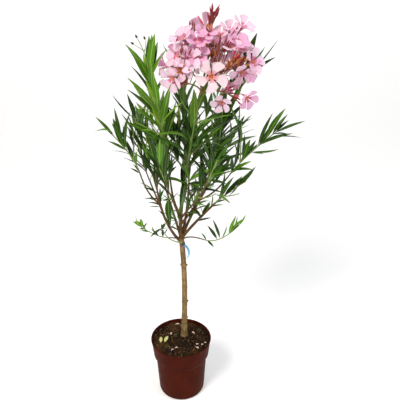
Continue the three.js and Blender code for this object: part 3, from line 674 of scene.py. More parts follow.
def shown_bloom(head, mouth, way, size, opening, is_bud, keys):
    """A flower or bud at a given place, on a stalk from the nearest part of its head's axis"""
    mouth, way = np.array(mouth, float), unit(np.array(way, float))
    base = mouth - way * (0 if is_bud else FUNNEL_LENGTH * size)
    path = head_axes[head].places(np.linspace(0.2, AXIS_LAST, 30))
    foot = path[np.argmin(np.linalg.norm(path - base, axis=1))]
    return {"foot": foot, "way": way, "bud": is_bud, "mouth": mouth, "size": size, "open": opening,
            "turn": between(BLOOM_TURN, *keys, 44), "keys": keys, "head": head}


blooms = [b for b in blooms if b["bud"] or (b["head"], b["keys"][1]) not in LEFT_OUT]
for i, bloom in enumerate(blooms):
    told = SHOWN[bloom["head"]].get(bloom["keys"][1])
    if told and not bloom["bud"]:
        blooms[i] = shown_bloom(bloom["head"], *told, False, bloom["keys"])
for index, (head, middle, spread, way, count, kind) in enumerate(BUD_GROUPS):
    for i in range(count):
        keys = (index, 300 + i, 0)
        place = middle + np.array([wobble(spread, *keys, 55 + k) for k in range(3)])
        lean = np.array([wobble(BUD_LEAN, *keys, 58 + k) for k in range(3)])
        size = between(BUD_KIND_SIZE[kind], *keys, 61)
        blooms.append({**shown_bloom(head, place, way + lean, size, 0, True, keys), "kind": kind})


def count_blooms():
    buds = sum(bloom["bud"] for bloom in blooms)
    return f"flowers: {len(blooms) - buds} buds: {buds}"


print(count_blooms())

# %% [markdown]
# The solids can't let two flowers touch, but real petals overlap freely. So the heads get a few more flowers
# and buds, wherever the middle of a flower has enough room and its petals stay within reach.

# %% More flowers and buds
# room round the middle in mm, part of the axis, angle to it, size beside the solids' own
MORE_FLOWERS = (22, (0.3, 0.95), (30, 84), 0.84)
MORE_BUDS = (8, (0.35, 1.0), (8, 46), 1)
EXTRA_FLOWERS = {"flowers_back": 3, "flowers_right_top": 3, "flowers_left": 2, "flowers_right": 2}
EXTRA_BUDS = {"flowers_top": 2, "flowers_right": 4, "flowers_front": 3}
BUD_MIDDLE = 8
MORE_SPARE = 3.0


def middle_of(bloom):
    return bloom["mouth"] + bloom["way"] * (BUD_MIDDLE if bloom["bud"] else 0)


for index, (name, axis) in enumerate(head_axes.items()):
    for i, is_bud in enumerate([False] * EXTRA_FLOWERS.get(name, 0) + [True] * EXTRA_BUDS.get(name, 2)):
        room, part, span, scale = MORE_BUDS if is_bud else MORE_FLOWERS
        for tries in range(BLOOM_TRIES):
            keys = (index, 200 + i, tries)
            bloom = bloom_at(axis, between(part, *keys, 54), is_bud, span, keys)
            bloom["size"] *= scale
            near = any(np.linalg.norm(middle_of(bloom) - middle_of(other)) < room
                       for other in blooms if other["bud"] == is_bud)
            if not near and all(in_reach(name, tip, MORE_SPARE) for tip in petal_tips(bloom)):
                blooms.append({**bloom, "head": name})
                break
print("with the extra ones,", count_blooms())

# %% [markdown]
# ## Growing the crown
# First the photo's own leaves are set. It shows the large leaves of the front one by one, so their tips are
# read off its grid of 400 by 400, and each stands on the camera's line of sight at a depth that is judged.

# %% Leaves that the photo shows
PHOTO_WIDTH = 400

# by limb or shoot: share of its length at the leaf's root, the tip's column, row and depth in mm, how far the
# leaf bows up and how wide it is in mm, and its tone. The tone follows how light or dark the leaf looks where
# it stands: partly the leaf's own green, partly painted light and painted shade.
SHOWN_LEAVES = [
    ("leaves_left_centre", [(0.97, 124.5, 43.5, -30, 7, 17, 0.8), (1, 155, 33, -14, 3, 19, 0.8),
        (1, 149, 35, -2, 4, 16, 0.74), (0.99, 158, 41, 8, 3, 15, 0.5), (1, 152, 33.5, 6, 3, 15, 0.66),
        (0.9, 138, 56, -22, 4, 14, 0.62), (0.86, 151, 60, -36, 4, 15, 0.7),
        (0.97, 167.5, 48.5, -34, 5, 15, 0.6), (0.92, 131, 52, 0, 5, 14, 0.72),
        (0.78, 130, 65, -36, 7, 9, 0.2), (0.72, 126.5, 77, 10, 5, 12, 0.92),
        (0.62, 126.5, 89, -50, 6, 16, 0.5), (0.8, 163, 79, -20, 3, 14, 0.5),
        (0.62, 165.5, 90, -44, 5, 18, 0.6), (0.66, 171, 91, 10, 3, 14, 0.5),
        (0.52, 136, 118, -60, 12, 10, 0.45), (0.5, 175, 108, -30, 4, 11, 0.3)]),
    ("leaves_leader", [(0.46, 145, 136.5, -70, 14, 12, 0.5), (0.56, 153, 136, -80, 24, 11, 0.62),
        (0.48, 226, 137, -100, 10, 11, 0.5), (0.55, 243, 115, -100, 8, 12, 0.42),
        (0.68, 233, 115, -110, 12, 11, 0.7), (0.33, 207, 151, -70, 5, 11, 0.12),
        (0.38, 174, 150, -50, 4, 10, 0.12), (0.8, 179.5, 97, -108, -4, 15, 0.55),
        (0.88, 194.5, 93, -85, 2, 8, 0.55), (0.9, 219, 117, -115, 9, 9, 0.2),
        (0.74, 209, 119, -60, 2, 8, 0.95), (0.62, 183, 113, -45, 3, 11, 0.15),
        (0.22, 160, 178, -60, 4, 13, 0.02), (0.3, 180, 213, -60, 5, 16, 0.36),
        (0.2, 211, 183, -50, 4, 9, 0.05)]),
    ("leaves_right_upper", [(0.97, 257, 32.5, -10, 2, 17, 0.3), (0.5, 253, 118, -40, 5, 10, 0.42),
        (0.3, 227, 133, -20, 2, 9, 0.4)]),
    ("leaves_right_middle", [(0.97, 236, 136, -70, 4, 10, 0.45)]),
    ("bough_left", [(0.98, 144.5, 199, -22, 5, 5, 0.1), (0.85, 147.5, 202.5, -24, 5, 5, 0.12),
        (0.84, 148.5, 207, -24, 2, 3, 0.3), (0.62, 158, 210, -16, 2, 5, 0.12),
        (0.6, 178, 220, -26, 4, 4, 0.12), (0.42, 179, 231, -24, 4, 5, 0.06), (0.5, 173, 213, -10, 2, 4, 0.3),
        (0.97, 164, 190, -12, 2, 7, 0.1)]),
    ("bough_left_centre", [(0.55, 161.5, 187.5, -14, 4, 8, 0.62), (0.58, 162, 201, -14, 3, 7, 0.66)]),
    ("bough_right", [(0.62, 210.5, 201, -10, 2, 8, 0.15), (0.98, 226, 200, -30, 2, 3, 0.3)]),
    ("bough_right_middle", [(0.62, 202, 219, -14, 3, 8, 0.12), (0.55, 189.5, 220, -10, 2, 8, 0.15)]),
    ("leaves_low_right", [(0.08, 214, 247.5, -60, 2, 6, 0.1), (0.06, 201, 232.5, -44, 2, 5, 0.55),
        (0.35, 207, 225, -40, 3, 8, 0.1), (0.42, 212.5, 219, -50, 3, 7, 0.12),
        (0.7, 244, 218.5, -84, 3, 9, 0.66), (0.66, 236.5, 215, -70, 2, 8, 0.6),
        (0.74, 239, 226, -90, 2, 8, 0.5)]),
    ("leaves_far_right", [(0.64, 273, 112.5, -16, 3, 9, 0.42), (0.78, 286, 108, -22, 6, 15, 0.5),
        (0.9, 288, 114, 10, 4, 9, 0.3), (0.97, 289, 120, -6, 2, 7, 0.1), (0.95, 306, 121, -14, 4, 9, 0.4),
        (0.92, 288, 134, -30, 3, 6, 0.15), (0.66, 293.5, 133.5, -24, 8, 11, 0.45),
        (0.84, 302, 138, 12, 6, 4, 0.25), (0.53, 279.5, 149, -20, -5, 7, 0.5),
        (0.5, 264.5, 154, -8, 2, 4, 0.25), (0.34, 244.5, 134, -10, 1, 8, 0.08),
        (0.36, 250.5, 139, -20, 2, 14, 0.5), (0.5, 258, 144, 6, 2, 7, 0.4), (0.28, 234, 140, 0, 2, 4, 0.2),
        (0.1, 232, 155, -16, 2, 9, 0.25), (0.05, 252, 161, -24, 5, 12, 0.5),
        (0.12, 254, 170, -30, 5, 9, 0.45)]),
    ("leaves_right", [(0.1, 234, 176.5, -30, 3, 12, 0.42), (0.3, 244, 177, -44, 3, 11, 0.28),
        (0.4, 240, 182.5, -40, 3, 7, 0.1), (0.75, 253, 170, -50, 3, 9, 0.3), (0.05, 227, 199, -30, 1, 3, 0.2),
        (0.3, 233, 191, -36, 1, 4, 0.1)]),
    ("leaves_left_outer", [(0.86, 95, 116.5, -56, 2, 9, 0.6), (0.84, 94, 132, -62, 16, 6, 0.55),
        (0.68, 114, 107, -40, 3, 9, 0.35), (0.66, 112.5, 118, -52, 3, 15, 0.55),
        (0.62, 111.5, 123.5, -60, 3, 11, 0.5), (0.6, 127.5, 122, -44, 2, 9, 0.25),
        (0.7, 131, 110, -20, 2, 6, 0.1), (0.52, 107.5, 141, -58, 2, 9, 0.45),
        (0.22, 137, 151, -40, 2, 9, 0.45), (0.03, 130, 168, -40, 1, 6, 0.1),
        (0.06, 133, 164, -34, 1, 5, 0.15)]),
    ("leaves_left_upper", [(0.97, 112, 94, -10, -5, 5, 0.3), (0.98, 127, 93.5, -6, 2, 9, 0.02),
        (1, 132, 102, 0, 2, 9, 0.1), (0.62, 129.5, 121, -24, 3, 9, 0.4),
        (0.75, 146.5, 102.5, -20, 2, 15, 0.3), (0.5, 136, 125, -10, 2, 8, 0.3)]),
    ("leaves_right_upper", [(0.6, 240, 92, -10, 3, 12, 0.3), (0.72, 233, 97, 0, 3, 11, 0.22),
        (0.85, 227, 88, 0, 3, 10, 0.3), (0.25, 236, 136, -40, 4, 11, 0.5)]),
    ("leaves_back_upper", [(0.95, 257.5, 32, 20, 3, 12, 0.35), (1, 276, 57, 40, 3, 12, 0.3),
        (0.98, 279, 38, 50, -6, 4, 0.1)]),
    ("leaves_left", [(0.35, 136, 148, -30, 3, 10, 0.15), (0.6, 146, 130, -26, 3, 9, 0.4),
        (0.1, 143, 187, -34, 3, 7, 0.05), (0.8, 164, 124, -10, 3, 11, 0.3)]),
    ("leaves_left_upper", [(0.1, 140, 153, -6, 3, 10, 0.25)]),
    ("leaves_front_left", [(0.95, 160, 138, -112, 2, 11, 0.66), (0.9, 150, 140, -110, 3, 10, 0.35),
        (0.75, 146, 151, -104, 3, 9, 0.15), (0.7, 168, 141, -100, 3, 9, 0.3),
        (0.55, 175, 160, -90, 3, 8, 0.1), (0.5, 149, 164, -92, 3, 8, 0.15), (0.3, 155, 180, -76, 3, 7, 0.1)]),
    ("leaves_front_right", [(1, 232, 156, -104, 3, 8, 0.15), (0.95, 226, 147, -100, 2, 9, 0.35),
        (0.9, 209, 139, -104, 2, 9, 0.2), (0.8, 231, 164, -110, 3, 8, 0.1), (0.7, 226, 172, -108, 2, 9, 0.3),
        (0.62, 227, 184, -112, 2, 8, 0.1), (0.55, 196, 166, -96, 2, 9, 0.15),
        (0.35, 191, 184, -80, 2, 8, 0.1)]),
    ("leaves_low_left", [(1, 135, 220.5, -14, 2, 11, 0.85), (0.95, 141, 218.5, -10, 2, 9, 0.8),
        (0.9, 147.5, 222.5, -20, 1, 5, 0.4), (0.85, 139, 229, -24, 1, 5, 0.45),
        (0.35, 151, 229, -26, 1, 5, 0.3)]),
    ("low_left_second", [(1, 150, 237.5, -34, 3, 7, 0.1), (1, 166, 223, -30, 1, 8, 0.45),
        (0.95, 161, 224, -36, 1, 8, 0.5), (0.95, 163, 237, -40, 1, 7, 0.4), (0.8, 160, 230, -40, 1, 7, 0.5),
        (0.75, 168, 229, -36, 1, 6, 0.15)]),
]
# twigs that only the photo shows: their node, their points as column, row and depth, and their end radii
SHOWN_TWIGS = {
    "low_left_second": ("leaves_low_left", [(181.5, 242.5, -4), (171, 242, -16), (164, 236, -26),
                                            (162.5, 228, -30)], (1.6, 0.9)),
    "dry_stalk": ("leaves_left_centre", [(149.5, 80, -8), (147.5, 62, -12), (145.5, 52, -12),
                                         (136, 36, -16)], (1.5, 0.7)),
    "dry_branch": ("leaves_left_centre", [(144.5, 51, -12), (147, 45, -10), (144.8, 38.8, -6)], (0.8, 0.5)),
    "dry_fork": ("leaves_left_centre", [(144.5, 51, -12), (140, 48.5, -18), (133, 43.8, -22)], (0.8, 0.5)),
}
DRY_BUDS = ["dry_stalk", "dry_branch", "dry_fork"]
FACE_LEAN = np.array([0, -0.6, 0])
print("leaves read off the photo:", sum(len(rows) for name, rows in SHOWN_LEAVES))


def seen_at(column, row, depth):
    """The place in mm on the camera's line of sight through a point of the photo, at a depth along Y"""
    down = math.radians(CAMERA_DOWN)
    ahead = np.array([0, math.cos(down), -math.sin(down)])
    above = np.array([0, math.sin(down), math.cos(down)])
    way = ahead * PHOTO_WIDTH * CAMERA_LENS / SENSOR - above * (row - PHOTO_WIDTH / 2)
    way[0] += column - PHOTO_WIDTH / 2
    eye = np.array(CAMERA_PLACE) / MM
    return eye + way * (depth - eye[1]) / way[1]


# %% Room that is taken
LEAF_ROOM = 3.2
LEAF_CHECKS = np.linspace(0.35, 1, 6)
LEAF_THICK = 0.6
FINE_ROOM = 2.0
LINE_ROOM = 0.5
STALK_ROOM = 3
# room round the tip of a petal and round its middle
PETAL_ROOMS = (6, 8)
TONE_BY_AGE = 0.3
TONE_WOBBLE = 0.17


def leaf_path(leaf, shares):
    """Points along a leaf's midrib"""
    s = np.asarray(shares, float)[:, None]
    lift = 4 * leaf["arch"] * s * (1 - s) + (leaf["bow"] - leaf["droop"]) * s * s
    return leaf["root"] + leaf["along"] * leaf["length"] * s + leaf["face"] * lift


class Space:
    """Points that are taken, each with the room it needs"""

    def __init__(self):
        self.points = np.empty((0, 3))
        self.rooms = np.empty(0)

    def take(self, points, rooms):
        points = np.atleast_2d(points)
        self.points = np.concatenate([self.points, points])
        self.rooms = np.concatenate([self.rooms, np.broadcast_to(rooms, len(points))])

    def free(self, points, room):
        gaps = np.linalg.norm(np.atleast_2d(points)[:, None] - self.points[None], axis=2)
        return bool(np.all(gaps > self.rooms[None] + room))


taken = Space()
twigs = []
leaves = []


def take_line(curve, radius_at, step=6.0):
    shares = np.linspace(0, 1, max(3, int(curve.length / step)))
    taken.take(curve.places(shares), [float(radius_at(s)) + LINE_ROOM for s in shares])


def stand_leaf(leaf, shoot, node):
    tone = shoot["tone"] + TONE_BY_AGE * (0.5 - leaf["age"]) + wobble(TONE_WOBBLE, *leaf["keys"][:-1], 9)
    leaves.append({**leaf, "node": node, "tone": tone})
    taken.take(leaf_path(leaf, LEAF_CHECKS), LEAF_THICK)


def fits(leaf, node, room=LEAF_ROOM):
    path = leaf_path(leaf, LEAF_CHECKS)
    return in_reach(node, path[-1]) and taken.free(path, room)


for curve, radius_at in (*limbs.values(), *stems.values()):
    take_line(curve, radius_at)
for bloom in blooms:
    taken.take([(bloom["foot"] + bloom["mouth"]) / 2, bloom["mouth"]], STALK_ROOM)
    if not bloom["bud"]:
        taken.take(petal_tips(bloom), PETAL_ROOMS[0])
        taken.take([(bloom["mouth"] + tip) / 2 for tip in petal_tips(bloom)], PETAL_ROOMS[1])
print("places taken by limbs and flowers:", len(taken.rooms))

# %% Set the shown leaves
shown_twigs = {name: (node, Curve(*[seen_at(*p) for p in points]), radii)
               for name, (node, points, radii) in SHOWN_TWIGS.items()}
twigs += shown_twigs.values()
for node, curve, radii in twigs:
    take_line(curve, tapered(radii))
index = 0
for name, rows in SHOWN_LEAVES:
    node, curve = shown_twigs[name][:2] if name in shown_twigs else (name, (stems.get(name) or limbs[name])[0])
    for share, column, row, depth, arch, width, tone in rows:
        root = curve.place(share)
        way = seen_at(column, row, depth) - root
        along = unit(way)
        face = UP + FACE_LEAN
        face = unit(face - along * np.dot(face, along))
        stand_leaf({"root": root, "along": along, "face": face, "length": float(np.linalg.norm(way)), "bow": 0,
                    "droop": 0, "arch": arch, "width": width, "keys": (index, 90, 0), "age": 0.5},
                   {"tone": tone}, node)
        index += 1
shown_leaves = len(leaves)
print("leaves shown one by one:", shown_leaves, "twigs:", len(twigs))

# %% [markdown]
# The twigs and leaves that the solids kept come next, and give way to the photo's own on the viewer's side.
# Then the crown is filled as a real one is: leaves the solids had to skip, short side twigs with smaller
# leaves, and a few young leaves low on the boughs. Each addition keeps to its shoot's reach and clear of the
# rest.

# %% Leaves of the rule
# between these shares of a stem's length the shown leaves take the place of the rule's on the viewer's side
SHOWN_SPAN = {"leaves_left_centre": (0.45, 1), "leaves_leader": (0.15, 0.95), "leaves_front_right": (0, 1),
              "leaves_far_right": (0, 1), "leaves_left_outer": (0, 1), "leaves_left_upper": (0.2, 1),
              "leaves_right": (0, 1), "leaves_right_upper": (0.2, 1), "leaves_back_upper": (0.25, 0.8),
              "leaves_left_rear": (0.2, 1), "leaves_left": (0, 1), "leaves_low_left": (0, 1),
              "leaves_low_right": (0.3, 1), "leaves_front_left": (0, 1)}
# on all of these but two the side twigs give way too
OPEN_SHOOTS = set(SHOWN_SPAN) - {"leaves_left_centre", "leaves_leader"}
VIEWER_SIDE = 0.25
# leaves that reach further to the front than this stay, because the depth of the crown is theirs
FRONT_REACH = -168


def gives_way(leaf, node):
    """Whether a leaf of the rule stands where the photo shows other leaves"""
    low, high = SHOWN_SPAN.get(node, (2, 2))
    return low <= 1 - leaf["age"] <= high and leaf["along"][1] < VIEWER_SIDE and leaf_tip(leaf)[1] > FRONT_REACH


skipped = []
for index, shoot in enumerate(SHOOTS):
    node = shoot["name"]
    stem, radius_at = stems[node]
    plans = [(stem, radius_at, (index, 20), shoot["whorls"], shoot["first"], shoot["leaf"])]
    for curve, keys in side_twigs(stem, shoot, index):
        if kept(node, curve.place(1)):
            twigs.append((node, curve, TWIG_RADII))
            take_line(curve, tapered(TWIG_RADII))
            count = max(2, round(shoot["whorls"] * TWIG_WHORLS))
            plans.append((curve, tapered(TWIG_RADII), keys, count, TWIG_FIRST_WHORL, shoot["leaf"] * TWIG_LEAF))
    for curve, radius, keys, count, first, size in plans:
        for leaf in whorls_on(curve, radius, shoot, keys, count, first, size):
            if (curve is stem or node in OPEN_SHOOTS) and gives_way(leaf, node):
                continue
            if kept(node, leaf_tip(leaf)):
                stand_leaf(leaf, shoot, node)
            else:
                skipped.append((leaf, shoot, node))
solid_leaves = len(leaves) - shown_leaves
for leaf, shoot, node in skipped:
    if fits(leaf, node):
        stand_leaf(leaf, shoot, node)
print("leaves kept by the solids:", solid_leaves, "grown back:", len(leaves) - solid_leaves - shown_leaves)

# %% Fine twigs and low leaves
FINE_TWIG_ROOM = 95
FINE_TWIG_SPAN = (0.1, 0.5)
FINE_TWIG_REACH = (0.2, 0.32)
FINE_TWIG_ANGLE = 46
FINE_TWIG_TURN = (0, 6.28)
FINE_TWIG_CLEAR = 2.5
FINE_TWIG_LIFT = 0.25
FINE_TWIG_RADII = (1.2, 0.8)
FINE_TWIG_WHORLS = 2
FINE_TWIG_FIRST = 0.45
FINE_TWIG_LEAF = 0.58
FINE_TWIG_LEAST = 3
LOW_LEAF_BOUGHS = ("bough_left", "bough_right", "bough_back", "bough_back_left", "bough_back_right",
                   "bough_front_left", "bough_front_right", "bough_left_rear", "bough_centre")
LOW_LEAF = {"leaf": 50, "spread": 66, "rake": 40, "tone": 0.5}
LOW_WHORLS = 3
LOW_FIRST = 0.35
LOW_CHANCE = 0.55

for index, shoot in enumerate(SHOOTS):
    node = shoot["name"]
    stem, radius_at = stems[node]
    first = between(FINE_TWIG_TURN, index, 51)
    count = 0 if node in OPEN_SHOOTS else round(stem.length / FINE_TWIG_ROOM) + 1
    for i in range(count):
        share = lerp(*FINE_TWIG_SPAN, (i + chance(index, i, 50)) / count)
        reach = stem.length * between(FINE_TWIG_REACH, index, i, 52)
        curve = twig_on(stem, share, GOLDEN_TURN * i + first, FINE_TWIG_ANGLE, reach, FINE_TWIG_LIFT)
        path = curve.places(np.linspace(0.4, 1, 5))
        if not (in_reach(node, path[-1]) and taken.free(path, FINE_TWIG_CLEAR)):
            continue
        new = [leaf for leaf in whorls_on(curve, tapered(FINE_TWIG_RADII), shoot, (index, 60 + i),
                                          FINE_TWIG_WHORLS, FINE_TWIG_FIRST, shoot["leaf"] * FINE_TWIG_LEAF)
               if fits(leaf, node, FINE_ROOM)]
        if len(new) < FINE_TWIG_LEAST:
            continue
        twigs.append((node, curve, FINE_TWIG_RADII))
        take_line(curve, tapered(FINE_TWIG_RADII))
        for leaf in new:
            stand_leaf(leaf, shoot, node)

for index, name in enumerate(LOW_LEAF_BOUGHS):
    for leaf in whorls_on(*limbs[name], LOW_LEAF, (index, 80), LOW_WHORLS, LOW_FIRST, LOW_LEAF["leaf"]):
        if chance(*leaf["keys"], 81) < LOW_CHANCE and taken.free(leaf_path(leaf, LEAF_CHECKS), FINE_ROOM):
            stand_leaf(leaf, LOW_LEAF, name)

print("leaves in all:", len(leaves), "twigs:", len(twigs))

# %% [markdown]
# ## A blade and where it stands
# Leaves, petals and sepals are thin blades. Each kind is modelled once, a unit long, as a closed body of a few
# faces with its true outline. The sepal serves for the throat's fringe and for moss too. One Geometry Nodes
# tree then sets a copy on every point, turned and sized by the point's attributes, and bends it: each part of
# a blade moves in proportion to how far along it lies, and to the square of that. Real blades bend in just
# such a smooth arc under their own weight.

# %% Blade prototypes
def smooth_step(a, b, x):
    t = np.clip((np.asarray(x, float) - a) / (b - a), 0, 1)
    return t * t * (3 - 2 * t)


def blade_prototype(name, top, thick, part_of):
    """A closed blade: a grid of upper points, and the same grid a little lower joined at the margins"""
    rows, cols = top.shape[:2]
    bm = bmesh.new()
    share = bm.verts.layers.float.new("share")
    part = bm.faces.layers.int.new("part")
    upper, lower = [], []
    for r in range(rows):
        upper.append([bm.verts.new(top[r, c]) for c in range(cols)])
        lower.append([upper[r][c] if r in (0, rows - 1) or c in (0, cols - 1)
                      else bm.verts.new(top[r, c] - (0, 0, thick[r, c])) for c in range(cols)])
    for v in bm.verts:
        v[share] = v.co.y
    for r in range(rows - 1):
        for c in range(cols - 1):
            a = bm.faces.new((upper[r][c], upper[r][c + 1], upper[r + 1][c + 1], upper[r + 1][c]))
            b = bm.faces.new((lower[r + 1][c], lower[r + 1][c + 1], lower[r][c + 1], lower[r][c]))
            a[part] = part_of(r, c, True)
            b[part] = part_of(r, c, False)
            b.tag = True
    bmesh.ops.remove_doubles(bm, verts=bm.verts, dist=1e-6)
    for edge in bm.edges:
        edge.smooth = len({f.tag for f in edge.link_faces}) == 1
    for face in bm.faces:
        face.smooth = True
    mesh = bpy.data.meshes.new(name)
    bm.to_mesh(mesh)
    bm.free()
    return link_object(name, mesh)


FACE, MIDDLE, UNDER = 0, 1, 2


def lance_prototype():
    """An oleander leaf: a short stalk, then a lance with a channel along its pale midrib"""
    shares = [0, 0.04, 0.08, 0.16, 0.27, 0.4, 0.54, 0.68, 0.81, 0.92, 1]
    widths = [0, 0.13, 0.2, 0.52, 0.84, 1, 0.97, 0.8, 0.52, 0.24, 0]
    top = np.zeros((len(shares), 4, 3))
    thick = np.zeros((len(shares), 4))
    for r, (s, w) in enumerate(zip(shares, widths)):
        rib = min(0.05 * (1 - 0.6 * s), w * 0.3)
        for c, x in enumerate((-w / 2, -rib, rib, w / 2)):
            top[r, c] = (x, s, 0.2 * abs(x) + 0.012 * math.sin(19 * s + 2 * np.sign(x)))
        thick[r, 1:3] = 0.03 + 0.05 * (1 - s)
    return blade_prototype("lance", top, thick,
                           lambda r, c, upper: MIDDLE if c == 1 else FACE if upper else UNDER)


def petal_prototype():
    """One lobe of the corolla: a wedge with a broad, slanting, softly waved end"""
    shares = [0, 0.14, 0.3, 0.46, 0.62, 0.77, 0.89, 0.97, 1]
    widths = [0.2, 0.3, 0.46, 0.63, 0.79, 0.92, 1, 0.97, 0.84]
    cols = 8
    top = np.zeros((len(shares), cols, 3))
    for r, (s, width) in enumerate(zip(shares, widths)):
        for c in range(cols):
            u = 2 * c / (cols - 1) - 1
            x = 0.5 * width * u + 0.08 * s * s
            y = s - 0.16 * s**3 * abs(u - 0.25) ** 2.2
            top[r, c] = (x, y, 0.1 * u * u * s + 0.035 * s * s * math.sin(5.2 * u + 0.6))
    thick = np.full((len(shares), cols), 0.018)
    return blade_prototype("petal", top, thick,
                           lambda r, c, upper: UNDER if not upper else MIDDLE if r < 2 else FACE)


def sepal_prototype():
    """A small pointed blade, for sepals and the fringe of the throat"""
    shares = [0, 0.3, 0.65, 1]
    widths = [0.8, 1, 0.7, 0]
    top = np.array([[(u * w / 2, s, 0.15 * u * u) for u in (-1, 0, 1)] for s, w in zip(shares, widths)])
    thick = np.full((4, 3), 0.12)
    return blade_prototype("sepal", top, thick, lambda r, c, upper: FACE if upper else UNDER)


lance, petal, sepal = lance_prototype(), petal_prototype(), sepal_prototype()
print("faces of a leaf:", len(lance.data.polygons), "of a petal:", len(petal.data.polygons))

# %% The tree that sets blades on points
# what each point of a carrier, and each part of a prototype, holds for the trees
HELD = {"turn": "QUATERNION", "size": "FLOAT_VECTOR", "rise": "FLOAT_VECTOR", "fall": "FLOAT_VECTOR",
        "share": "FLOAT", "part": "INT", "girth": "FLOAT"}


def new_tree(name, sockets):
    """An empty Geometry Nodes tree with named inputs: the tree, what it is given, and its output node"""
    tree = bpy.data.node_groups.new(name, "GeometryNodeTree")
    tree.interface.new_socket("Geometry", in_out="INPUT", socket_type="NodeSocketGeometry")
    for label, kind in sockets.items():
        tree.interface.new_socket(label, in_out="INPUT", socket_type="NodeSocket" + kind)
    tree.interface.new_socket("Geometry", in_out="OUTPUT", socket_type="NodeSocketGeometry")
    return tree, tree.nodes.new("NodeGroupInput").outputs, tree.nodes.new("NodeGroupOutput")


def blades_tree():
    tree, given, out = new_tree("blades on points", {
        "Prototype": "Object", "Face finish": "Material", "Middle finish": "Material",
        "Under finish": "Material"})
    held = {name: add_node(tree, "GeometryNodeInputNamedAttribute", {"Name": name}, data_type=kind)
            for name, kind in HELD.items() if name != "girth"}
    source = add_node(tree, "GeometryNodeObjectInfo", {"Object": given["Prototype"]})
    copies = add_node(tree, "GeometryNodeInstanceOnPoints", {
        "Points": given["Geometry"], "Instance": source.outputs["Geometry"], "Rotation": held["turn"],
        "Scale": held["size"]})
    shape = add_node(tree, "GeometryNodeRealizeInstances", {"Geometry": copies})
    share = held["share"]
    squared = add_node(tree, "ShaderNodeMath", {0: share, 1: share}, operation="MULTIPLY")
    rise, fall = [add_node(tree, "ShaderNodeVectorMath", {0: held[way], "Scale": amount}, operation="SCALE")
                  for way, amount in (("rise", share), ("fall", squared))]
    shift = add_node(tree, "ShaderNodeVectorMath", {0: rise, 1: fall}, operation="ADD")
    shape = add_node(tree, "GeometryNodeSetPosition", {"Geometry": shape, "Offset": shift})
    for part, label in enumerate(("Face finish", "Middle finish", "Under finish")):
        same = add_node(tree, "FunctionNodeCompare", {2: held["part"], 3: part}, data_type="INT",
                        operation="EQUAL")
        shape = add_node(tree, "GeometryNodeSetMaterial", {
            "Geometry": shape, "Selection": same, "Material": given[label]})
    feed(tree, out, {"Geometry": shape})
    return tree


def evaluated_copy(carrier, tree, values, name):
    """Runs a tree on a carrier object and returns what it makes as a plain mesh object"""
    modifier = carrier.modifiers.new(tree.name, "NODES")
    modifier.node_group = tree
    for item in tree.interface.items_tree:
        if item.in_out == "INPUT" and item.name in values:
            modifier[item.identifier] = values[item.name]
    depsgraph = bpy.context.evaluated_depsgraph_get()
    mesh = bpy.data.meshes.new_from_object(
        carrier.evaluated_get(depsgraph), preserve_all_data_layers=True, depsgraph=depsgraph)
    mesh.name = name
    bpy.data.objects.remove(carrier)
    for spent in [a.name for a in mesh.attributes if a.name in HELD]:
        mesh.attributes.remove(mesh.attributes[spent])
    return link_object(name, mesh)


def finish_piece(obj, nodes):
    """A finished piece rides the root and stands in for its solids"""
    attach(obj, "root")
    for node in sorted(set(nodes)):
        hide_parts(node)
    print(f"{obj.name}: {sum(len(p.vertices) - 2 for p in obj.data.polygons)} triangles")


BLADE_TREE = blades_tree()


def set_blades(name, prototype, blades, finishes):
    """One joined piece of blades. A blade is its root, direction, face, size, rise, fall and node."""
    roots, alongs, fronts, sizes, rises, falls, nodes = zip(*blades)
    mesh = bpy.data.meshes.new(name + "_points")
    mesh.from_pydata([tuple(root * MM) for root in roots], [], [])
    turns = [tuple(Matrix((np.cross(along, front), along, front)).transposed().to_quaternion())
             for along, front in zip(alongs, fronts)]
    mesh.attributes.new("turn", "QUATERNION", "POINT").data.foreach_set("value", np.array(turns).ravel())
    for key, values in (("size", sizes), ("rise", rises), ("fall", falls)):
        mesh.attributes.new(key, "FLOAT_VECTOR", "POINT").data.foreach_set(
            "vector", (np.array(values) * MM).ravel())
    face, middle, under = (finishes * 3)[:3]
    obj = evaluated_copy(link_object(name + "_points", mesh), BLADE_TREE, {
        "Prototype": prototype, "Face finish": face, "Middle finish": middle, "Under finish": under}, name)
    finish_piece(obj, nodes)


# %% [markdown]
# ## Leaf colours
# A leaf's colour follows its age, and on the leaves shown one by one also painted light and painted shade.
# New leaves at the shoot tips are a fresh yellow green, older ones deepen to a dark blue green, and a leathery
# cuticle gives all of them a soft gloss. The midrib and underside are paler. The colours have no pattern of
# their own: each spray takes one of five plain greens by its age and place.

# %% Leaf materials
def plain_material(name, colour, roughness, more=None):
    """A finish that is the same all over"""
    material, tree, surface = new_material(name)
    feed(tree, surface, {"Base Color": linear(colour), "Roughness": roughness, **(more or {})})
    return material


# how fresh a tint is at least, its name, then the colours of face, midrib and underside
LEAF_TINTS = [
    (0.80, "fresh", "#709c22", "#b9c766", "#86a23c"),
    (0.62, "bright", "#518219", "#9fb653", "#6b8b35"),
    (0.44, "mid", "#38640f", "#86a146", "#5b7b2d"),
    (0.26, "deep", "#284a0b", "#6f8a3d", "#4a6825"),
    (-9.0, "dark", "#1c3808", "#5b7430", "#3c5620"),
]
LEAF_WIDTH = (0.13, 0.165)
LEAF_SIDEWAYS = 0.05
LEAST_WIDTH = 4.5


def leaf_blade(leaf):
    across = np.cross(leaf["along"], leaf["face"])
    width = leaf.get("width") or max(LEAST_WIDTH, leaf["length"] * between(LEAF_WIDTH, *leaf["keys"], 10))
    rise = leaf["face"] * 4 * leaf["arch"]
    fall = leaf["face"] * (leaf["bow"] - leaf["droop"] - 4 * leaf["arch"])
    sway = across * leaf["length"] * wobble(LEAF_SIDEWAYS, *leaf["keys"], 11)
    return (leaf["root"], leaf["along"], leaf["face"], (width, leaf["length"], width), rise - sway, fall + sway,
            leaf["node"])
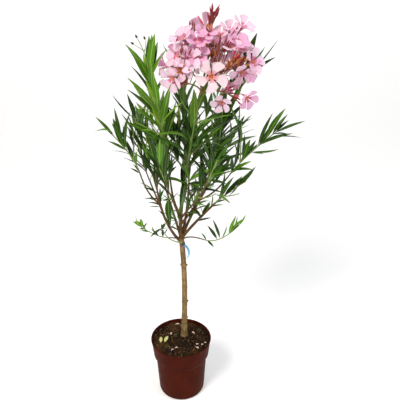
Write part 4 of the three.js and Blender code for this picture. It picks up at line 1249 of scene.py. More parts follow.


# a leaf's tone picks its green; on the leaves shown one by one the tone is partly painted light and painted
# shade
sprays = {tint[1]: [] for tint in LEAF_TINTS}
for leaf in leaves:
    sprays[next(t[1] for t in LEAF_TINTS if leaf["tone"] >= t[0])].append(leaf_blade(leaf))
for _, tint, face, rib, under in LEAF_TINTS:
    # a waxy cuticle above, a smooth rib, and a matt underside full of pores
    set_blades(f"leaves_{tint}", lance, sprays[tint], (
        plain_material(f"oleander_leaf_{tint}_waxy", face, 0.36, {"Specular IOR Level": 0.22}),
        plain_material(f"oleander_midrib_{tint}_smooth", rib, 0.5),
        plain_material(f"oleander_leaf_underside_{tint}_matt", under, 0.62)))

# %% [markdown]
# ## Flowers
# An oleander flower is a funnel that opens into five broad lobes, each slanting like a propeller blade. A
# deeper coloured, fringed throat sits in its middle and small dark red sepals hold it from below.
# Funnels and buds are turned round their own axis. Lobes, sepals and fringes are blades set in a ring.
# Petals are pale on wide open flowers, which are older, and rosier on the ones that have only half opened.

# %% Rings swept round an axis
def rings_body(rings, sides, twist=0.0, flutes=0.0):
    """Points and faces of a closed body: rings of a radius and height about Z, the ends drawn to a point"""
    verts = []
    for i, (radius, height) in enumerate(rings):
        for k in range(sides):
            a = 2 * math.pi * k / sides
            r = radius * (1 + flutes * math.cos(PETALS * (a - twist * i / len(rings))))
            verts.append((r * math.cos(a), r * math.sin(a), height))
    faces = [(i + k, i + (k + 1) % sides, i + sides + (k + 1) % sides, i + sides + k)
             for i in range(0, (len(rings) - 1) * sides, sides) for k in range(sides)]
    last, low = len(verts) - sides, len(verts)
    faces += [(low, (k + 1) % sides, k) for k in range(sides)]
    faces += [(low + 1, last + k, last + (k + 1) % sides) for k in range(sides)]
    return np.array(verts + [(0, 0, rings[0][1]), (0, 0, rings[-1][1])]), faces


def joined_bodies(name, bodies, materials, smooth=True):
    """One mesh from many bodies. A body is points in millimetres, faces, and each face's material number."""
    verts, faces, numbers = [], [], []
    for points, body_faces, finish in bodies:
        start = len(verts)
        verts.extend((np.asarray(points) * MM).tolist())
        faces.extend([tuple(start + i for i in f) for f in body_faces])
        numbers.extend([finish] * len(body_faces) if isinstance(finish, int) else finish)
    mesh = bpy.data.meshes.new(name)
    mesh.from_pydata(verts, [], faces)
    for material in materials:
        mesh.materials.append(material)
    mesh.polygons.foreach_set("material_index", numbers)
    mesh.polygons.foreach_set("use_smooth", [smooth] * len(faces))
    mesh.update()
    return link_object(name, mesh)


def placed(points, foot, way, turn=0.0):
    """Points modelled about the Z axis, stood at a foot along a direction"""
    side = around(way, turn)
    return foot + points[:, :1] * side + points[:, 1:2] * np.cross(way, side) + points[:, 2:] * way


# %% Petals, funnels, sepals and fringes
PETAL_SIZE = (25, 26, 26)
# how far a flower is open at least, and the colours of a lobe's face, base and back
PETAL_TINTS = {"pale": (0.58, "#ecc6cf", "#e2a0a6", "#ecc2cf"), "pink": (0.3, "#f4c4d9", "#df84a6", "#f0bcd4"),
               "rose": (-9, "#eba5c7", "#cf5f8c", "#e69cc0")}
# thin soft tissue lets some of the light through: it scatters over two or three millimetres
PETAL_TISSUE = {"Specular IOR Level": 0.2, "Subsurface Weight": 0.6, "Subsurface Radius": (1.0, 0.7, 0.7),
                "Subsurface Scale": 0.003}
PETAL_FOOT = (4.4, -0.6)
# how steeply a lobe leaves the mouth and how far it folds back, on an open flower and on a closed one
PETAL_LIFT = (0.2, 1.5)
PETAL_DROOP = (0.6, 0.28)
# how far chance changes a petal's shade, turn, lift, droop and size
PETAL_WOBBLE = {"shade": 0.25, "turn": 0.09, "lift": 0.12, "droop": 0.1, "size": 0.05}
# radius and height below the mouth of the funnel's outside, then of its inside down to the anthers' cone
FUNNEL_OUTSIDE = [(1.2, -19), (1.7, -17), (1.9, -12), (2.9, -8), (4.6, -3.5), (5.7, 0)]
FUNNEL_INSIDE = [(5.2, 0.1), (3.9, -3.4), (2.3, -7), (1.5, -7.5), (1.3, -3), (0.8, 1.5), (0.3, 4)]
FUNNEL_SIDES = 12
# each ring of faces is 0 for rose or 1 for golden: the outside, the inside, the foot's point, the cone's tip
FUNNEL_FINISH = [0] * (len(FUNNEL_OUTSIDE) - 1) + [1] * len(FUNNEL_INSIDE) + [0, 1]
FRINGE_TEETH = 15
FRINGE_RADIUS = 4.6
FRINGE_WIDTH = 1.1
FRINGE_LENGTH = 5.5
FRINGE_LEAN = 0.5
FRINGE_CURL = 0.8
# how far chance changes the length and the lean of a tooth
FRINGE_WOBBLE = (1.5, 0.35)
SEPAL_SIZE = (2.4, 6, 2.4)
SEPAL_RADIUS = 1.1
SEPAL_LEAN = 0.28
SEPAL_CURL = 1.2

petals = {tint: [] for tint in PETAL_TINTS}
fringes, sepals, bud_sepals, funnels = [], [], [], []


def bract(root, way, out, lean, size, rise, fall, node):
    """A small blade that leans away from `way`, with its hollow side inwards"""
    along = unit(way + out * lean)
    return (root, along, unit(along * np.dot(out, along) - out), np.array(size), out * rise, out * fall, node)


for bloom in blooms:
    if bloom["bud"]:
        continue
    way, turn, size, keys, head = (bloom[key] for key in ("way", "turn", "size", "keys", "head"))
    mouth, base, closed = bloom["mouth"], bloom["mouth"] - way * FUNNEL_LENGTH * size, 1 - bloom["open"]
    shade = bloom["open"] + wobble(PETAL_WOBBLE["shade"], *keys, 45)
    tint = next(t for t, row in PETAL_TINTS.items() if shade > row[0])
    for i in range(PETALS):
        out = around(way, turn - LOBE_STEP * (i + 1 / 3) - wobble(PETAL_WOBBLE["turn"], *keys, i, 46))
        lift = lerp(*PETAL_LIFT, closed) + wobble(PETAL_WOBBLE["lift"], *keys, i, 48)
        along = unit(out + way * lift)
        front = unit(way - along * np.dot(way, along))
        droop = lerp(*PETAL_DROOP, closed) * lift - 0.02 + wobble(PETAL_WOBBLE["droop"], *keys, i, 49)
        petals[tint].append((
            mouth + (out * PETAL_FOOT[0] + way * PETAL_FOOT[1]) * size, along, front,
            np.array(PETAL_SIZE) * size * (1 + wobble(PETAL_WOBBLE["size"], *keys, i, 50)), front * 0.0,
            -front * PETAL_SIZE[1] * size * droop * 0.8, head))
    for i in range(FRINGE_TEETH):
        out = around(way, turn - 2 * math.pi * i / FRINGE_TEETH)
        length = FRINGE_LENGTH + wobble(FRINGE_WOBBLE[0], *keys, i, 52)
        tooth = np.array([FRINGE_WIDTH, length, FRINGE_WIDTH]) * size
        fringes.append(bract(mouth + (out * FRINGE_RADIUS - way) * size, way, out,
                             FRINGE_LEAN + wobble(FRINGE_WOBBLE[1], *keys, i, 51), tooth, 0, FRINGE_CURL, head))
    for i in range(PETALS):
        out = around(way, turn - LOBE_STEP * (i + 0.5))
        sepals.append(bract(base + out * SEPAL_RADIUS * size, way, out, SEPAL_LEAN,
                            np.array(SEPAL_SIZE) * size, 0, SEPAL_CURL, head))
    points, faces = rings_body([(r * size, (h + FUNNEL_LENGTH) * size) for r, h in
                                FUNNEL_OUTSIDE + FUNNEL_INSIDE], FUNNEL_SIDES)
    finish = np.repeat(FUNNEL_FINISH, FUNNEL_SIDES).tolist()
    funnels.append((placed(points, base, way, turn), faces, finish))

blossom_nodes = [bloom["head"] for bloom in blooms]
for tint, (_, face, throat, back) in PETAL_TINTS.items():
    set_blades(f"petals_{tint}", petal, petals[tint], (
        plain_material(f"oleander_petal_{tint}_velvety", face, 0.6, PETAL_TISSUE),
        plain_material(f"oleander_petal_base_{tint}_velvety", throat, 0.6, PETAL_TISSUE),
        plain_material(f"oleander_petal_back_{tint}_satin", back, 0.6, PETAL_TISSUE)))
fringe_pink = plain_material("throat_fringe_rose_soft", "#d4708f", 0.6)
set_blades("throat_fringes", sepal, fringes, (fringe_pink,))
sepal_red = plain_material("sepal_dark_red_satin", "#84302c", 0.5)
set_blades("sepals", sepal, sepals, (sepal_red,))
obj = joined_bodies("funnels", funnels, [plain_material("corolla_funnel_rose_satin", "#dd8fa8", 0.5),
                                         plain_material("corolla_throat_golden_soft", "#e9a878", 0.6)])
finish_piece(obj, blossom_nodes)

# %% [markdown]
# ## Buds
# A bud is a pointed spindle of petals rolled round each other, which shows as a slow twist of ridges. Young
# buds are small and maroon, and colour to rose or scarlet as they lengthen. Every head ends in a tuft of young
# ones. Russet calyces are left on stalks whose flowers have dropped, and dry brown ones on the bare old stalk.

# %% Buds
# share of a bud's length, and radius as a share of its width
BUD_PROFILE = [(0.0, 0.3), (0.08, 0.42), (0.22, 0.5), (0.4, 0.46), (0.6, 0.34), (0.8, 0.2), (0.93, 0.09),
               (1.0, 0.02)]
BUD_SIDES = 10
BUD_TWIST = 2.2
BUD_FLUTES = 0.1
BUD_WIDTH = 5.2
YOUNG_BUD = 0.8
CALYX_WIDTH = 4.4
TUFT_BUDS = 7
TUFT_LENGTH = (6, 11)
TUFT_STALK = (2, 7)
TUFT_WIDTH = 2.8
# how far the first bud of a tuft leans out in degrees, and how much further each next one does
TUFT_FAN = (12, 7)
TUFT_STEP = 1.3
TUFT_LIFT = 0.1
TUFT_SPARE = 6
DRY_BUD = (8, 5)
DRY_BUD_AT = 0.96
PEDICEL_RADII = {"flower": 0.9, "bud": 0.8, "tuft": 0.6}
PEDICEL_SUNK = 0.5
BUD_SEPAL_SIZE = (2.2, 5, 2.2)
BUD_SEPAL_LEAN = 0.2
BUD_SEPAL_SUNK = 0.8
# how far a bud's sepal bulges out and curls back in
BUD_SEPAL_BULGE = (1.4, -0.6)
BUD_COLOURS = {"rose": "#d4506e", "scarlet": "#b92f3c", "maroon": "#8a2c33", "russet": "#bd7238",
               "dry": "#43301f"}

buds = {kind: [] for kind in BUD_COLOURS}
pedicels = []


def bud_body(foot, way, length, width, turn=0.0):
    rings = [(r * width, s * length) for s, r in BUD_PROFILE]
    points, faces = rings_body(rings, BUD_SIDES, BUD_TWIST, BUD_FLUTES)
    return placed(points, foot, way, turn), faces, 0


for bloom in blooms:
    foot, base, way, size, head = (bloom[key] for key in ("foot", "mouth", "way", "size", "head"))
    if not bloom["bud"]:
        pedicels.append((foot, base - way * (FUNNEL_LENGTH - 1) * size, way, PEDICEL_RADII["flower"]))
        continue
    kind = bloom.get("kind") or ("maroon" if head == "flowers_top" or size < YOUNG_BUD else "rose")
    width = CALYX_WIDTH if kind == "russet" else BUD_WIDTH * size
    buds[kind].append(bud_body(base, way, BUD_LENGTH * size, width, bloom["turn"]))
    pedicels.append((foot, base, way, PEDICEL_RADII["bud"]))
    for i in range(PETALS):
        bud_sepals.append(bract(base - way * BUD_SEPAL_SUNK, way, around(way, LOBE_STEP * i), BUD_SEPAL_LEAN,
                                np.array(BUD_SEPAL_SIZE) * size, *BUD_SEPAL_BULGE, head))
for index, (name, axis) in enumerate(head_axes.items()):
    tip, along = axis.place(1), axis.heading(1)
    for i in range(TUFT_BUDS):
        fan = TUFT_FAN[0] + TUFT_FAN[1] * i
        way = unit(tipped(along, around(along, GOLDEN_TURN * i), fan) + UP * TUFT_LIFT)
        stalk, length = between(TUFT_STALK, index, i, 60), between(TUFT_LENGTH, index, i, 61)
        foot = tip - along * TUFT_STEP * i
        if in_reach(name, foot + way * (stalk + length), TUFT_SPARE):
            buds["maroon"].append(bud_body(foot + way * stalk, way, length, TUFT_WIDTH))
            pedicels.append((foot, foot + way * (stalk + PEDICEL_SUNK), way, PEDICEL_RADII["tuft"]))
for name in DRY_BUDS:
    curve = shown_twigs[name][1]
    buds["dry"].append(bud_body(curve.place(DRY_BUD_AT), curve.heading(1), *DRY_BUD))

for kind, colour in BUD_COLOURS.items():
    skin = plain_material(f"oleander_bud_{kind}_satin", colour, 0.5, {"Specular IOR Level": 0.3})
    finish_piece(joined_bodies(f"buds_{kind}", buds[kind], [skin]), blossom_nodes)
set_blades("bud_sepals", sepal, bud_sepals, (sepal_red,))

# %% [markdown]
# ## Limbs
# Every limb is a round rod that follows a path, so one Geometry Nodes tree grows them all. Its carrier is a
# mesh of plain lines whose points carry the limb's girth. The tree turns the lines into curves, sweeps a
# circle along them, and pushes the surface in and out by a stretched noise for the relief of the bark.
# The trunk gets its root flare and its nodes from the girth alone. The stubs of pruned side shoots are short
# rods that grow out of it.

# %% The tree that sweeps limbs
def limbs_tree():
    tree, given, out = new_tree("limbs on lines", {
        "Sides": "Int", "Relief": "Float", "Grain": "Float", "Bark": "Material"})
    girth = add_node(tree, "GeometryNodeInputNamedAttribute", {"Name": "girth"}, data_type=HELD["girth"])
    curve = add_node(tree, "GeometryNodeMeshToCurve", {"Mesh": given["Geometry"]})
    circle = add_node(tree, "GeometryNodeCurvePrimitiveCircle", {"Resolution": given["Sides"], "Radius": 1.0})
    rod = add_node(tree, "GeometryNodeCurveToMesh", {
        "Curve": curve, "Profile Curve": circle, "Scale": girth, "Fill Caps": True})
    place, normal = add_node(tree, "GeometryNodeInputPosition"), add_node(tree, "GeometryNodeInputNormal")
    # lumps of bark are three or four times as long up the stem as they are wide
    stretched = add_node(tree, "ShaderNodeVectorMath", {0: place, 1: (1.0, 1.0, 0.28)}, operation="MULTIPLY")
    grain = add_node(tree, "ShaderNodeTexNoise", {
        "Vector": stretched, "Scale": given["Grain"], "Detail": 3.0, "Roughness": 0.6})
    level = add_node(tree, "ShaderNodeMath", {0: grain, 1: 0.5}, operation="SUBTRACT")
    depth = add_node(tree, "ShaderNodeMath", {0: level, 1: given["Relief"]}, operation="MULTIPLY")
    push = add_node(tree, "ShaderNodeVectorMath", {0: normal, "Scale": depth}, operation="SCALE")
    moved = add_node(tree, "GeometryNodeSetPosition", {"Geometry": rod, "Offset": push})
    smooth = add_node(tree, "GeometryNodeSetShadeSmooth", {"Geometry": moved, "Shade Smooth": True})
    done = add_node(tree, "GeometryNodeSetMaterial", {"Geometry": smooth, "Material": given["Bark"]})
    feed(tree, out, {"Geometry": done})
    return tree


LIMB_TREE = limbs_tree()


def sweep_limbs(name, lines, bark, nodes, sides, relief, grain):
    """One joined piece of rods. A line is its points and its girth at each point, in millimetres."""
    edges, start = [], 0
    for points, _ in lines:
        edges += [(start + i, start + i + 1) for i in range(len(points) - 1)]
        start += len(points)
    mesh = bpy.data.meshes.new(name + "_lines")
    mesh.from_pydata((np.concatenate([points for points, _ in lines]) * MM).tolist(), edges, [])
    mesh.attributes.new("girth", "FLOAT", "POINT").data.foreach_set(
        "value", np.concatenate([girths for _, girths in lines]) * MM)
    obj = evaluated_copy(link_object(name + "_lines", mesh), LIMB_TREE, {
        "Sides": sides, "Relief": relief * MM, "Grain": grain, "Bark": bark}, name)
    finish_piece(obj, nodes)


def limb_line(curve, radius_at, step, sunk=0.0, swell=0.0, swell_reach=6.0):
    """A limb's points and girths: sunk a little into its parent, and swollen where it leaves it"""
    count = max(4, int(curve.length / step) + 1)
    shares = np.linspace(0, 1, count)
    points = curve.places(shares)
    girths = np.array([float(radius_at(s)) for s in shares])
    girths = girths * (1 + swell * np.exp(-shares * curve.length / swell_reach))
    if sunk:
        points = np.concatenate([[points[0] - curve.heading(0) * sunk], points])
        girths = np.concatenate([[girths[0]], girths])
    return points, girths


# %% [markdown]
# ## Bark
# Oleander bark is thin and grey brown, finely cracked along the stem, with paler patches. The boughs are
# browner and smoother, and turn olive where they run up into the green shoots. The colours follow the
# object's own coordinates, with the grain stretched along the height as on the stem.

# %% Bark materials
def bark_material(name, colours, blend_top=None):
    """Stretched noise for the cracks and broad noise for the patches, with a bump from the cracks"""
    material, tree, surface = new_material(name)
    where = add_node(tree, "ShaderNodeTexCoord").outputs["Object"]
    long_way = add_node(tree, "ShaderNodeMapping", {"Vector": where, "Scale": (1.0, 1.0, 0.22)})
    # cracks about 3 mm wide and 12 mm long, a little coarser than the real ones
    grain = add_node(tree, "ShaderNodeTexNoise", {
        "Vector": long_way, "Scale": 330.0, "Detail": 5.0, "Roughness": 0.62})
    patches = add_node(tree, "ShaderNodeTexNoise", {"Vector": where, "Scale": 55.0, "Detail": 2.0})
    mixed = add_node(tree, "ShaderNodeMix", {"Factor": 0.4, 2: grain, 3: patches}, data_type="FLOAT")
    colour = add_node(tree, "ShaderNodeValToRGB", {0: mixed}, stops=zip((0.36, 0.5, 0.64), colours))
    if blend_top:
        low, high, code = blend_top
        height = add_node(tree, "ShaderNodeSeparateXYZ", {0: where}).outputs["Z"]
        factor = add_node(tree, "ShaderNodeMapRange", {"Value": height, "From Min": low, "From Max": high})
        colour = add_node(tree, "ShaderNodeMix", {
            "Factor": factor, 6: colour, 7: linear(code)}, data_type="RGBA").outputs[2]
    bump = add_node(tree, "ShaderNodeBump", {"Height": grain, "Strength": 0.35, "Distance": 0.0006})
    feed(tree, surface, {"Base Color": colour, "Normal": bump, "Roughness": 0.82, "Specular IOR Level": 0.3})
    return material


trunk_bark = bark_material("oleander_bark_finely_cracked", ("#523e20", "#7c623b", "#9e865c"))
# from 62 to 78 cm above the floor the boughs turn olive
bough_bark = bark_material("oleander_young_bark_smooth", ("#432d15", "#604424", "#7b5e37"),
                           (0.62, 0.78, "#6f7a38"))
green_stem = plain_material("oleander_green_stem_satin", "#7f9447", 0.5)
ripe_stem = plain_material("oleander_ripe_stem_brown_matt", "#5f4829", 0.7)
flower_stem = plain_material("oleander_flower_stalk_satin", "#94743a", 0.5)
pedicel_skin = plain_material("oleander_pedicel_russet_satin", "#8c4526", 0.5)

# %% Trunk
# height of each node on the trunk, how much it swells, and the way its pruned stub points in degrees
TRUNK_NODES = [(201, 0.9, 190), (231, 0.8, -15), (284, 1.0, 5), (330, 0.4, 120), (402, 1.0, -8),
               (402, 0.6, 172), (452, 0.5, 60)]
NODE_REACH = 3.5
STUB_LENGTH = 3.6
STUB_LIFT = 0.5
# share of the trunk's radius at which a stub starts
STUB_ROOT = 0.5
TRUNK_STEPS = 190
# shares of a stub's length, and its girth there
STUB = [(0, 2.9), (0.6, 2.4), (0.9, 2.0), (1, 0.9)]

shares = np.linspace(0, 1, TRUNK_STEPS)
points = trunk_curve.places(shares)
girths = np.array([float(trunk_radius(s)) for s in shares])
stubs = []
for height, swell, facing in TRUNK_NODES:
    girths += swell * np.exp(-((points[:, 2] - height) / NODE_REACH) ** 2)
    share = float(np.interp(height, points[:, 2], shares))
    inside, out = float(trunk_radius(share)) * STUB_ROOT, compass(facing)
    start, way = trunk_curve.place(share) + out * inside, unit(out + UP * STUB_LIFT)
    reach = inside + STUB_LENGTH * (0.6 + 0.5 * swell)
    stubs.append((np.array([start + way * reach * part for part, _ in STUB]),
                  np.array([girth for _, girth in STUB]) * (0.6 + 0.4 * swell)))
sweep_limbs("trunk_bark", [(points, girths), *stubs], trunk_bark, ["trunk"],
            sides=28, relief=1.5, grain=150.0)

# %% Boughs, green stems, twigs and flower stalks
RIPE_BELOW = 690
FEWEST_POINTS = 3
PEDICEL_GIRTHS = (1.15, 1, 0.95, 0.95, 0.95, 1, 1.35)

boughs = {name: limb for name, limb in limbs.items() if name != "trunk"}
lines = [limb_line(*limb, step=3.0, sunk=2.5, swell=0.35) for limb in boughs.values()]
sweep_limbs("bough_bark", lines, bough_bark, boughs, sides=14, relief=0.7, grain=220.0)

lines = [limb_line(*stem, step=8.0, sunk=0.6) for stem in stems.values()]
lines += [limb_line(curve, tapered(radii), step=9.0, sunk=1.0, swell=0.4) for node, curve, radii in twigs]
ripe_lines, green_lines = [], []
for points, girths in lines:
    # the number of points that are ripe: a part of very few points goes with the rest
    high = int(np.searchsorted(points[:, 2], RIPE_BELOW)) if points[-1, 2] > RIPE_BELOW else 0
    if high < FEWEST_POINTS:
        high = 0
    elif len(points) - high < FEWEST_POINTS:
        high = len(points)
    if high:
        ripe_lines.append((points[:high + 1], girths[:high + 1]))
    if high < len(points):
        green_lines.append((points[max(high - 1, 0):], girths[max(high - 1, 0):]))
sweep_limbs("ripe_stems", ripe_lines, ripe_stem, stems, sides=8, relief=0.3, grain=200.0)
sweep_limbs("green_stems", green_lines, green_stem, stems, sides=8, relief=0.25, grain=200.0)

lines = [limb_line(stalk_curve, tapered(STALK_RADII), step=5.0, sunk=0.6)]
sweep_limbs("main_flower_stalk", lines, flower_stem, ["flower_stalk"],
            sides=12, relief=0.3, grain=220.0)
lines = [limb_line(axis, tapered(AXIS_RADII), step=5.0, sunk=1.0, swell=0.4) for axis in head_axes.values()]
sweep_limbs("flower_axes", lines, flower_stem, head_axes, sides=10, relief=0.2, grain=220.0)
lines = []
for foot, end, way, radius in pedicels:
    length = float(np.linalg.norm(end - foot))
    path = bezier([foot, end - way * length * 0.5 - UP * length * 0.1, end],
                  np.linspace(0, 1, len(PEDICEL_GIRTHS)))
    lines.append((path, np.array(PEDICEL_GIRTHS) * radius))
sweep_limbs("pedicels", lines, pedicel_skin, blossom_nodes, sides=7, relief=0.0, grain=200.0)

# %% [markdown]
# ## The pot
# The pot is injection moulded polypropylene in a terracotta colour: a slightly tapered body, a shoulder, and
# a tall collar under a thin rolled lip. It is a turned profile, drawn with small radii at the corners as a
# mould gives them. The six drain holes are cut through its floor.

# %% Turn the pot
POT_HEIGHT = 175
RIM_RADIUS = 85
RIM_BEAD = 1.2
COLLAR_FOOT_RADIUS = 78.5
COLLAR_HEIGHT = 50
SHOULDER_HEIGHT = 9
BODY_TOP_RADIUS = 72
BODY_FOOT_RADIUS = 66
FOOT_ROUNDING = 14
WALL = 1.8
FLOOR = 2.4
POT_SIDES = 128
CORNER_STEPS = 5
CORNER_RADII = (FOOT_ROUNDING * 0.75, 2, 1.2, 0.8, 0.8, 1.0, 0.7, 1.2, 2, FOOT_ROUNDING * 0.7)
SHARP_ANGLE = 50
DRAIN_HOLES = 6
DRAIN_RADIUS = 5
DRAIN_CIRCLE = 32
DRAIN_SIDES = 20


def rounded(points, radii):
    """A profile whose corners are rounded, each by its own radius"""
    points = [np.array(p, float) for p in points]
    path = [points[0]]
    for before, corner, after, radius in zip(points, points[1:], points[2:], radii):
        start = corner + unit(before - corner) * radius
        end = corner + unit(after - corner) * radius
        path.extend(bezier([start, corner, end], np.linspace(0, 1, CORNER_STEPS + 1)))
    return path + [points[-1]]


def moulded_plastic():
    """Terracotta polypropylene: a faint mottle, fine mould grain, and a soft sheen that varies a little"""
    material, tree, surface = new_material("polypropylene_terracotta_injection_moulded")
    where = add_node(tree, "ShaderNodeTexCoord").outputs["Object"]
    cloud = add_node(tree, "ShaderNodeTexNoise", {"Vector": where, "Scale": 22.0, "Detail": 3.0})
    colour = add_node(tree, "ShaderNodeValToRGB", {0: cloud}, stops=[(0.35, "#40150a"), (0.65, "#4a1a0e")])
    # dust and handling marks a few centimetres across change the gloss
    marks = add_node(tree, "ShaderNodeTexNoise", {"Vector": where, "Scale": 60.0, "Detail": 4.0})
    gloss = add_node(tree, "ShaderNodeMapRange", {
        "Value": marks, "From Min": 0.3, "From Max": 0.7, "To Min": 0.42, "To Max": 0.55})
    # the mould's grain is under half a millimetre; it is drawn at one millimetre
    grain = add_node(tree, "ShaderNodeTexNoise", {"Vector": where, "Scale": 1000.0, "Detail": 2.0})
    bump = add_node(tree, "ShaderNodeBump", {"Height": grain, "Strength": 0.12, "Distance": 0.0003})
    feed(tree, surface, {"Base Color": colour, "Roughness": gloss, "Normal": bump, "IOR": 1.49,
                         "Specular IOR Level": 0.02})
    return material


shoulder = POT_HEIGHT - COLLAR_HEIGHT
lip = RIM_RADIUS - RIM_BEAD
outside = [(0, 0), (BODY_FOOT_RADIUS - 1, 0), (BODY_TOP_RADIUS, shoulder - SHOULDER_HEIGHT),
           (COLLAR_FOOT_RADIUS, shoulder), (lip, POT_HEIGHT - 3 * RIM_BEAD),
           (RIM_RADIUS, POT_HEIGHT - 2.2 * RIM_BEAD), (RIM_RADIUS, POT_HEIGHT), (lip - WALL, POT_HEIGHT)]
inside = [(COLLAR_FOOT_RADIUS - WALL, shoulder), (BODY_TOP_RADIUS - WALL, shoulder - SHOULDER_HEIGHT),
          (BODY_FOOT_RADIUS - WALL - 1, FLOOR), (0, FLOOR)]
pot = joined_bodies("pot_moulded", [(*rings_body(rounded(outside + inside, CORNER_RADII)[1:-1], POT_SIDES), 0)],
                    [moulded_plastic()])
drills = bmesh.new()
for i in range(DRAIN_HOLES):
    angle = 2 * math.pi * i / DRAIN_HOLES
    at = Matrix.Translation((DRAIN_CIRCLE * MM * math.cos(angle), DRAIN_CIRCLE * MM * math.sin(angle), 0))
    bmesh.ops.create_cone(drills, cap_ends=True, segments=DRAIN_SIDES, radius1=DRAIN_RADIUS * MM,
                          radius2=DRAIN_RADIUS * MM, depth=4 * FLOOR * MM, matrix=at)
drill_mesh = bpy.data.meshes.new("drills")
drills.to_mesh(drill_mesh)
drills.free()
drill = link_object("drills", drill_mesh)
cut = pot.modifiers.new("drain holes", "BOOLEAN")
cut.object = drill
cut.operation = "DIFFERENCE"
depsgraph = bpy.context.evaluated_depsgraph_get()
drilled = bpy.data.meshes.new_from_object(pot.evaluated_get(depsgraph), depsgraph=depsgraph)
pot.modifiers.clear()
pot.data = drilled
bpy.data.objects.remove(drill)
pot.data.shade_smooth()
pot.data.set_sharp_from_angle(angle=math.radians(SHARP_ANGLE))
finish_piece(pot, ["pot"])

# %% [markdown]
# ## The soil
# The pot is filled almost to the rim with a dark peat mix. Its surface is uneven: crumbs of peat, paler chips
# of bark, a little moss, and a few fallen petals and yellowed leaves. The bed is a disc with its top pushed up
# and down by noise. A third Geometry Nodes tree scatters the crumbs and chips over a copy of that top.

# %% The soil bed
SOIL_EDGE_DROP = 3
SOIL_RINGS = 46
SOIL_SIDES = 108
SOIL_LUMP = 2.0
SOIL_SINK = 1.2
SOIL_ROOM = 0.6
# share of the radius from which the soil drops to its edge
SOIL_EDGE = 0.7
# depth of the noise's slice, how fine it is to the millimetre, and its share of the lumps
SOIL_NOISE = [(3, 0.06, 1), (9, 0.17, 0.5), (5, 0.42, 0.35)]
MOUND_HEIGHT = 2.0
MOUND_REACH = 22
share = (SOIL_TOP - SOIL_EDGE_DROP - shoulder) / COLLAR_HEIGHT
soil_radius = lerp(COLLAR_FOOT_RADIUS, lip, share) - WALL - SOIL_ROOM


def soil_height(x, y):
    """Height of the soil's surface, in millimetres"""
    fall = SOIL_EDGE_DROP * float(smooth_step(SOIL_EDGE, 1.0, math.hypot(x, y) / soil_radius))
    lumps = sum(part * noise.noise(Vector((x, y, depth)) * fine) for depth, fine, part in SOIL_NOISE)
    away = (x - TRUNK_FOOT[0]) ** 2 + (y - TRUNK_FOOT[1]) ** 2
    return SOIL_TOP - SOIL_SINK - fall + lumps * SOIL_LUMP + MOUND_HEIGHT * math.exp(-away / MOUND_REACH**2)


def soil_bed(material):
    """The top as a fine disc of rings, closed by a plain side and bottom inside the pot"""
    rings = [(soil_radius * i / SOIL_RINGS, None) for i in range(1, SOIL_RINGS + 1)]
    rings += [(COLLAR_FOOT_RADIUS - WALL - 1, shoulder),
              (BODY_TOP_RADIUS - WALL - 1, shoulder - SHOULDER_HEIGHT),
              (BODY_FOOT_RADIUS - WALL - 2, FOOT_ROUNDING), (BODY_FOOT_RADIUS - FOOT_ROUNDING, FLOOR + GAP)]
    verts = [(0.0, 0.0, soil_height(0, 0))]
    for radius, level in rings:
        for k in range(SOIL_SIDES):
            a = 2 * math.pi * k / SOIL_SIDES
            x, y = radius * math.cos(a), radius * math.sin(a)
            verts.append((x, y, soil_height(x, y) if level is None else level))
    verts.append((0.0, 0.0, FLOOR + GAP))
    faces = [(0, 1 + k, 1 + (k + 1) % SOIL_SIDES) for k in range(SOIL_SIDES)]
    for i in range(len(rings) - 1):
        for k in range(SOIL_SIDES):
            a, b = 1 + i * SOIL_SIDES + k, 1 + i * SOIL_SIDES + (k + 1) % SOIL_SIDES
            faces.append((a, a + SOIL_SIDES, b + SOIL_SIDES, b))
    last = 1 + (len(rings) - 1) * SOIL_SIDES
    faces += [(len(verts) - 1, last + (k + 1) % SOIL_SIDES, last + k) for k in range(SOIL_SIDES)]
    bed = joined_bodies("soil_bed", [(np.array(verts), faces, 0)], [material])
    in_top = SOIL_RINGS * SOIL_SIDES
    top = bpy.data.meshes.new("soil_top")
    top.from_pydata([tuple(np.array(v) * MM) for v in verts[:1 + in_top]], [], faces[:in_top])
    return bed, top


def peat_material():
    """Damp soil: its own dark browns, painted shade near black in the hollows, and a rough surface that hardly
    shines
    """
    material, tree, surface = new_material("peat_potting_soil_loose_painted_hollow_shade")
    where = add_node(tree, "ShaderNodeTexCoord").outputs["Object"]
    crumb_relief_and_shade_mask = add_node(tree, "ShaderNodeTexNoise", {
        "Vector": where, "Scale": 260.0, "Detail": 6.0, "Roughness": 0.7})
    # the same noise makes the bump: its low hollows get painted shade down to near black, the crumbs their own
    # browns
    peat_colour_and_hollow_shade = add_node(tree, "ShaderNodeValToRGB", {0: crumb_relief_and_shade_mask}, stops=[
        (0.38, "#0b0602"), (0.52, "#1c1208"), (0.66, "#46321a")])
    # drifts of brown fibre a few centimetres across
    drift = add_node(tree, "ShaderNodeTexNoise", {"Vector": where, "Scale": 24.0, "Detail": 4.0})
    fibre = add_node(tree, "ShaderNodeMapRange", {
        "Value": drift, "From Min": 0.48, "From Max": 0.66, "To Max": 0.6})
    colour = add_node(tree, "ShaderNodeMix", {
        "Factor": fibre, 6: peat_colour_and_hollow_shade, 7: linear("#5a3a1a")}, data_type="RGBA")
    bump = add_node(tree, "ShaderNodeBump", {"Height": crumb_relief_and_shade_mask, "Strength": 0.8, "Distance": 0.002})
    feed(tree, surface, {"Base Color": colour.outputs[2], "Normal": bump, "Roughness": 0.95,
                         "Specular IOR Level": 0.06})
    return material


bed, soil_top = soil_bed(peat_material())
finish_piece(bed, ["soil"])


# %% Crumbs and chips
LUMP_ROUGHNESS = 0.35
LUMP_NOISE = 2.4
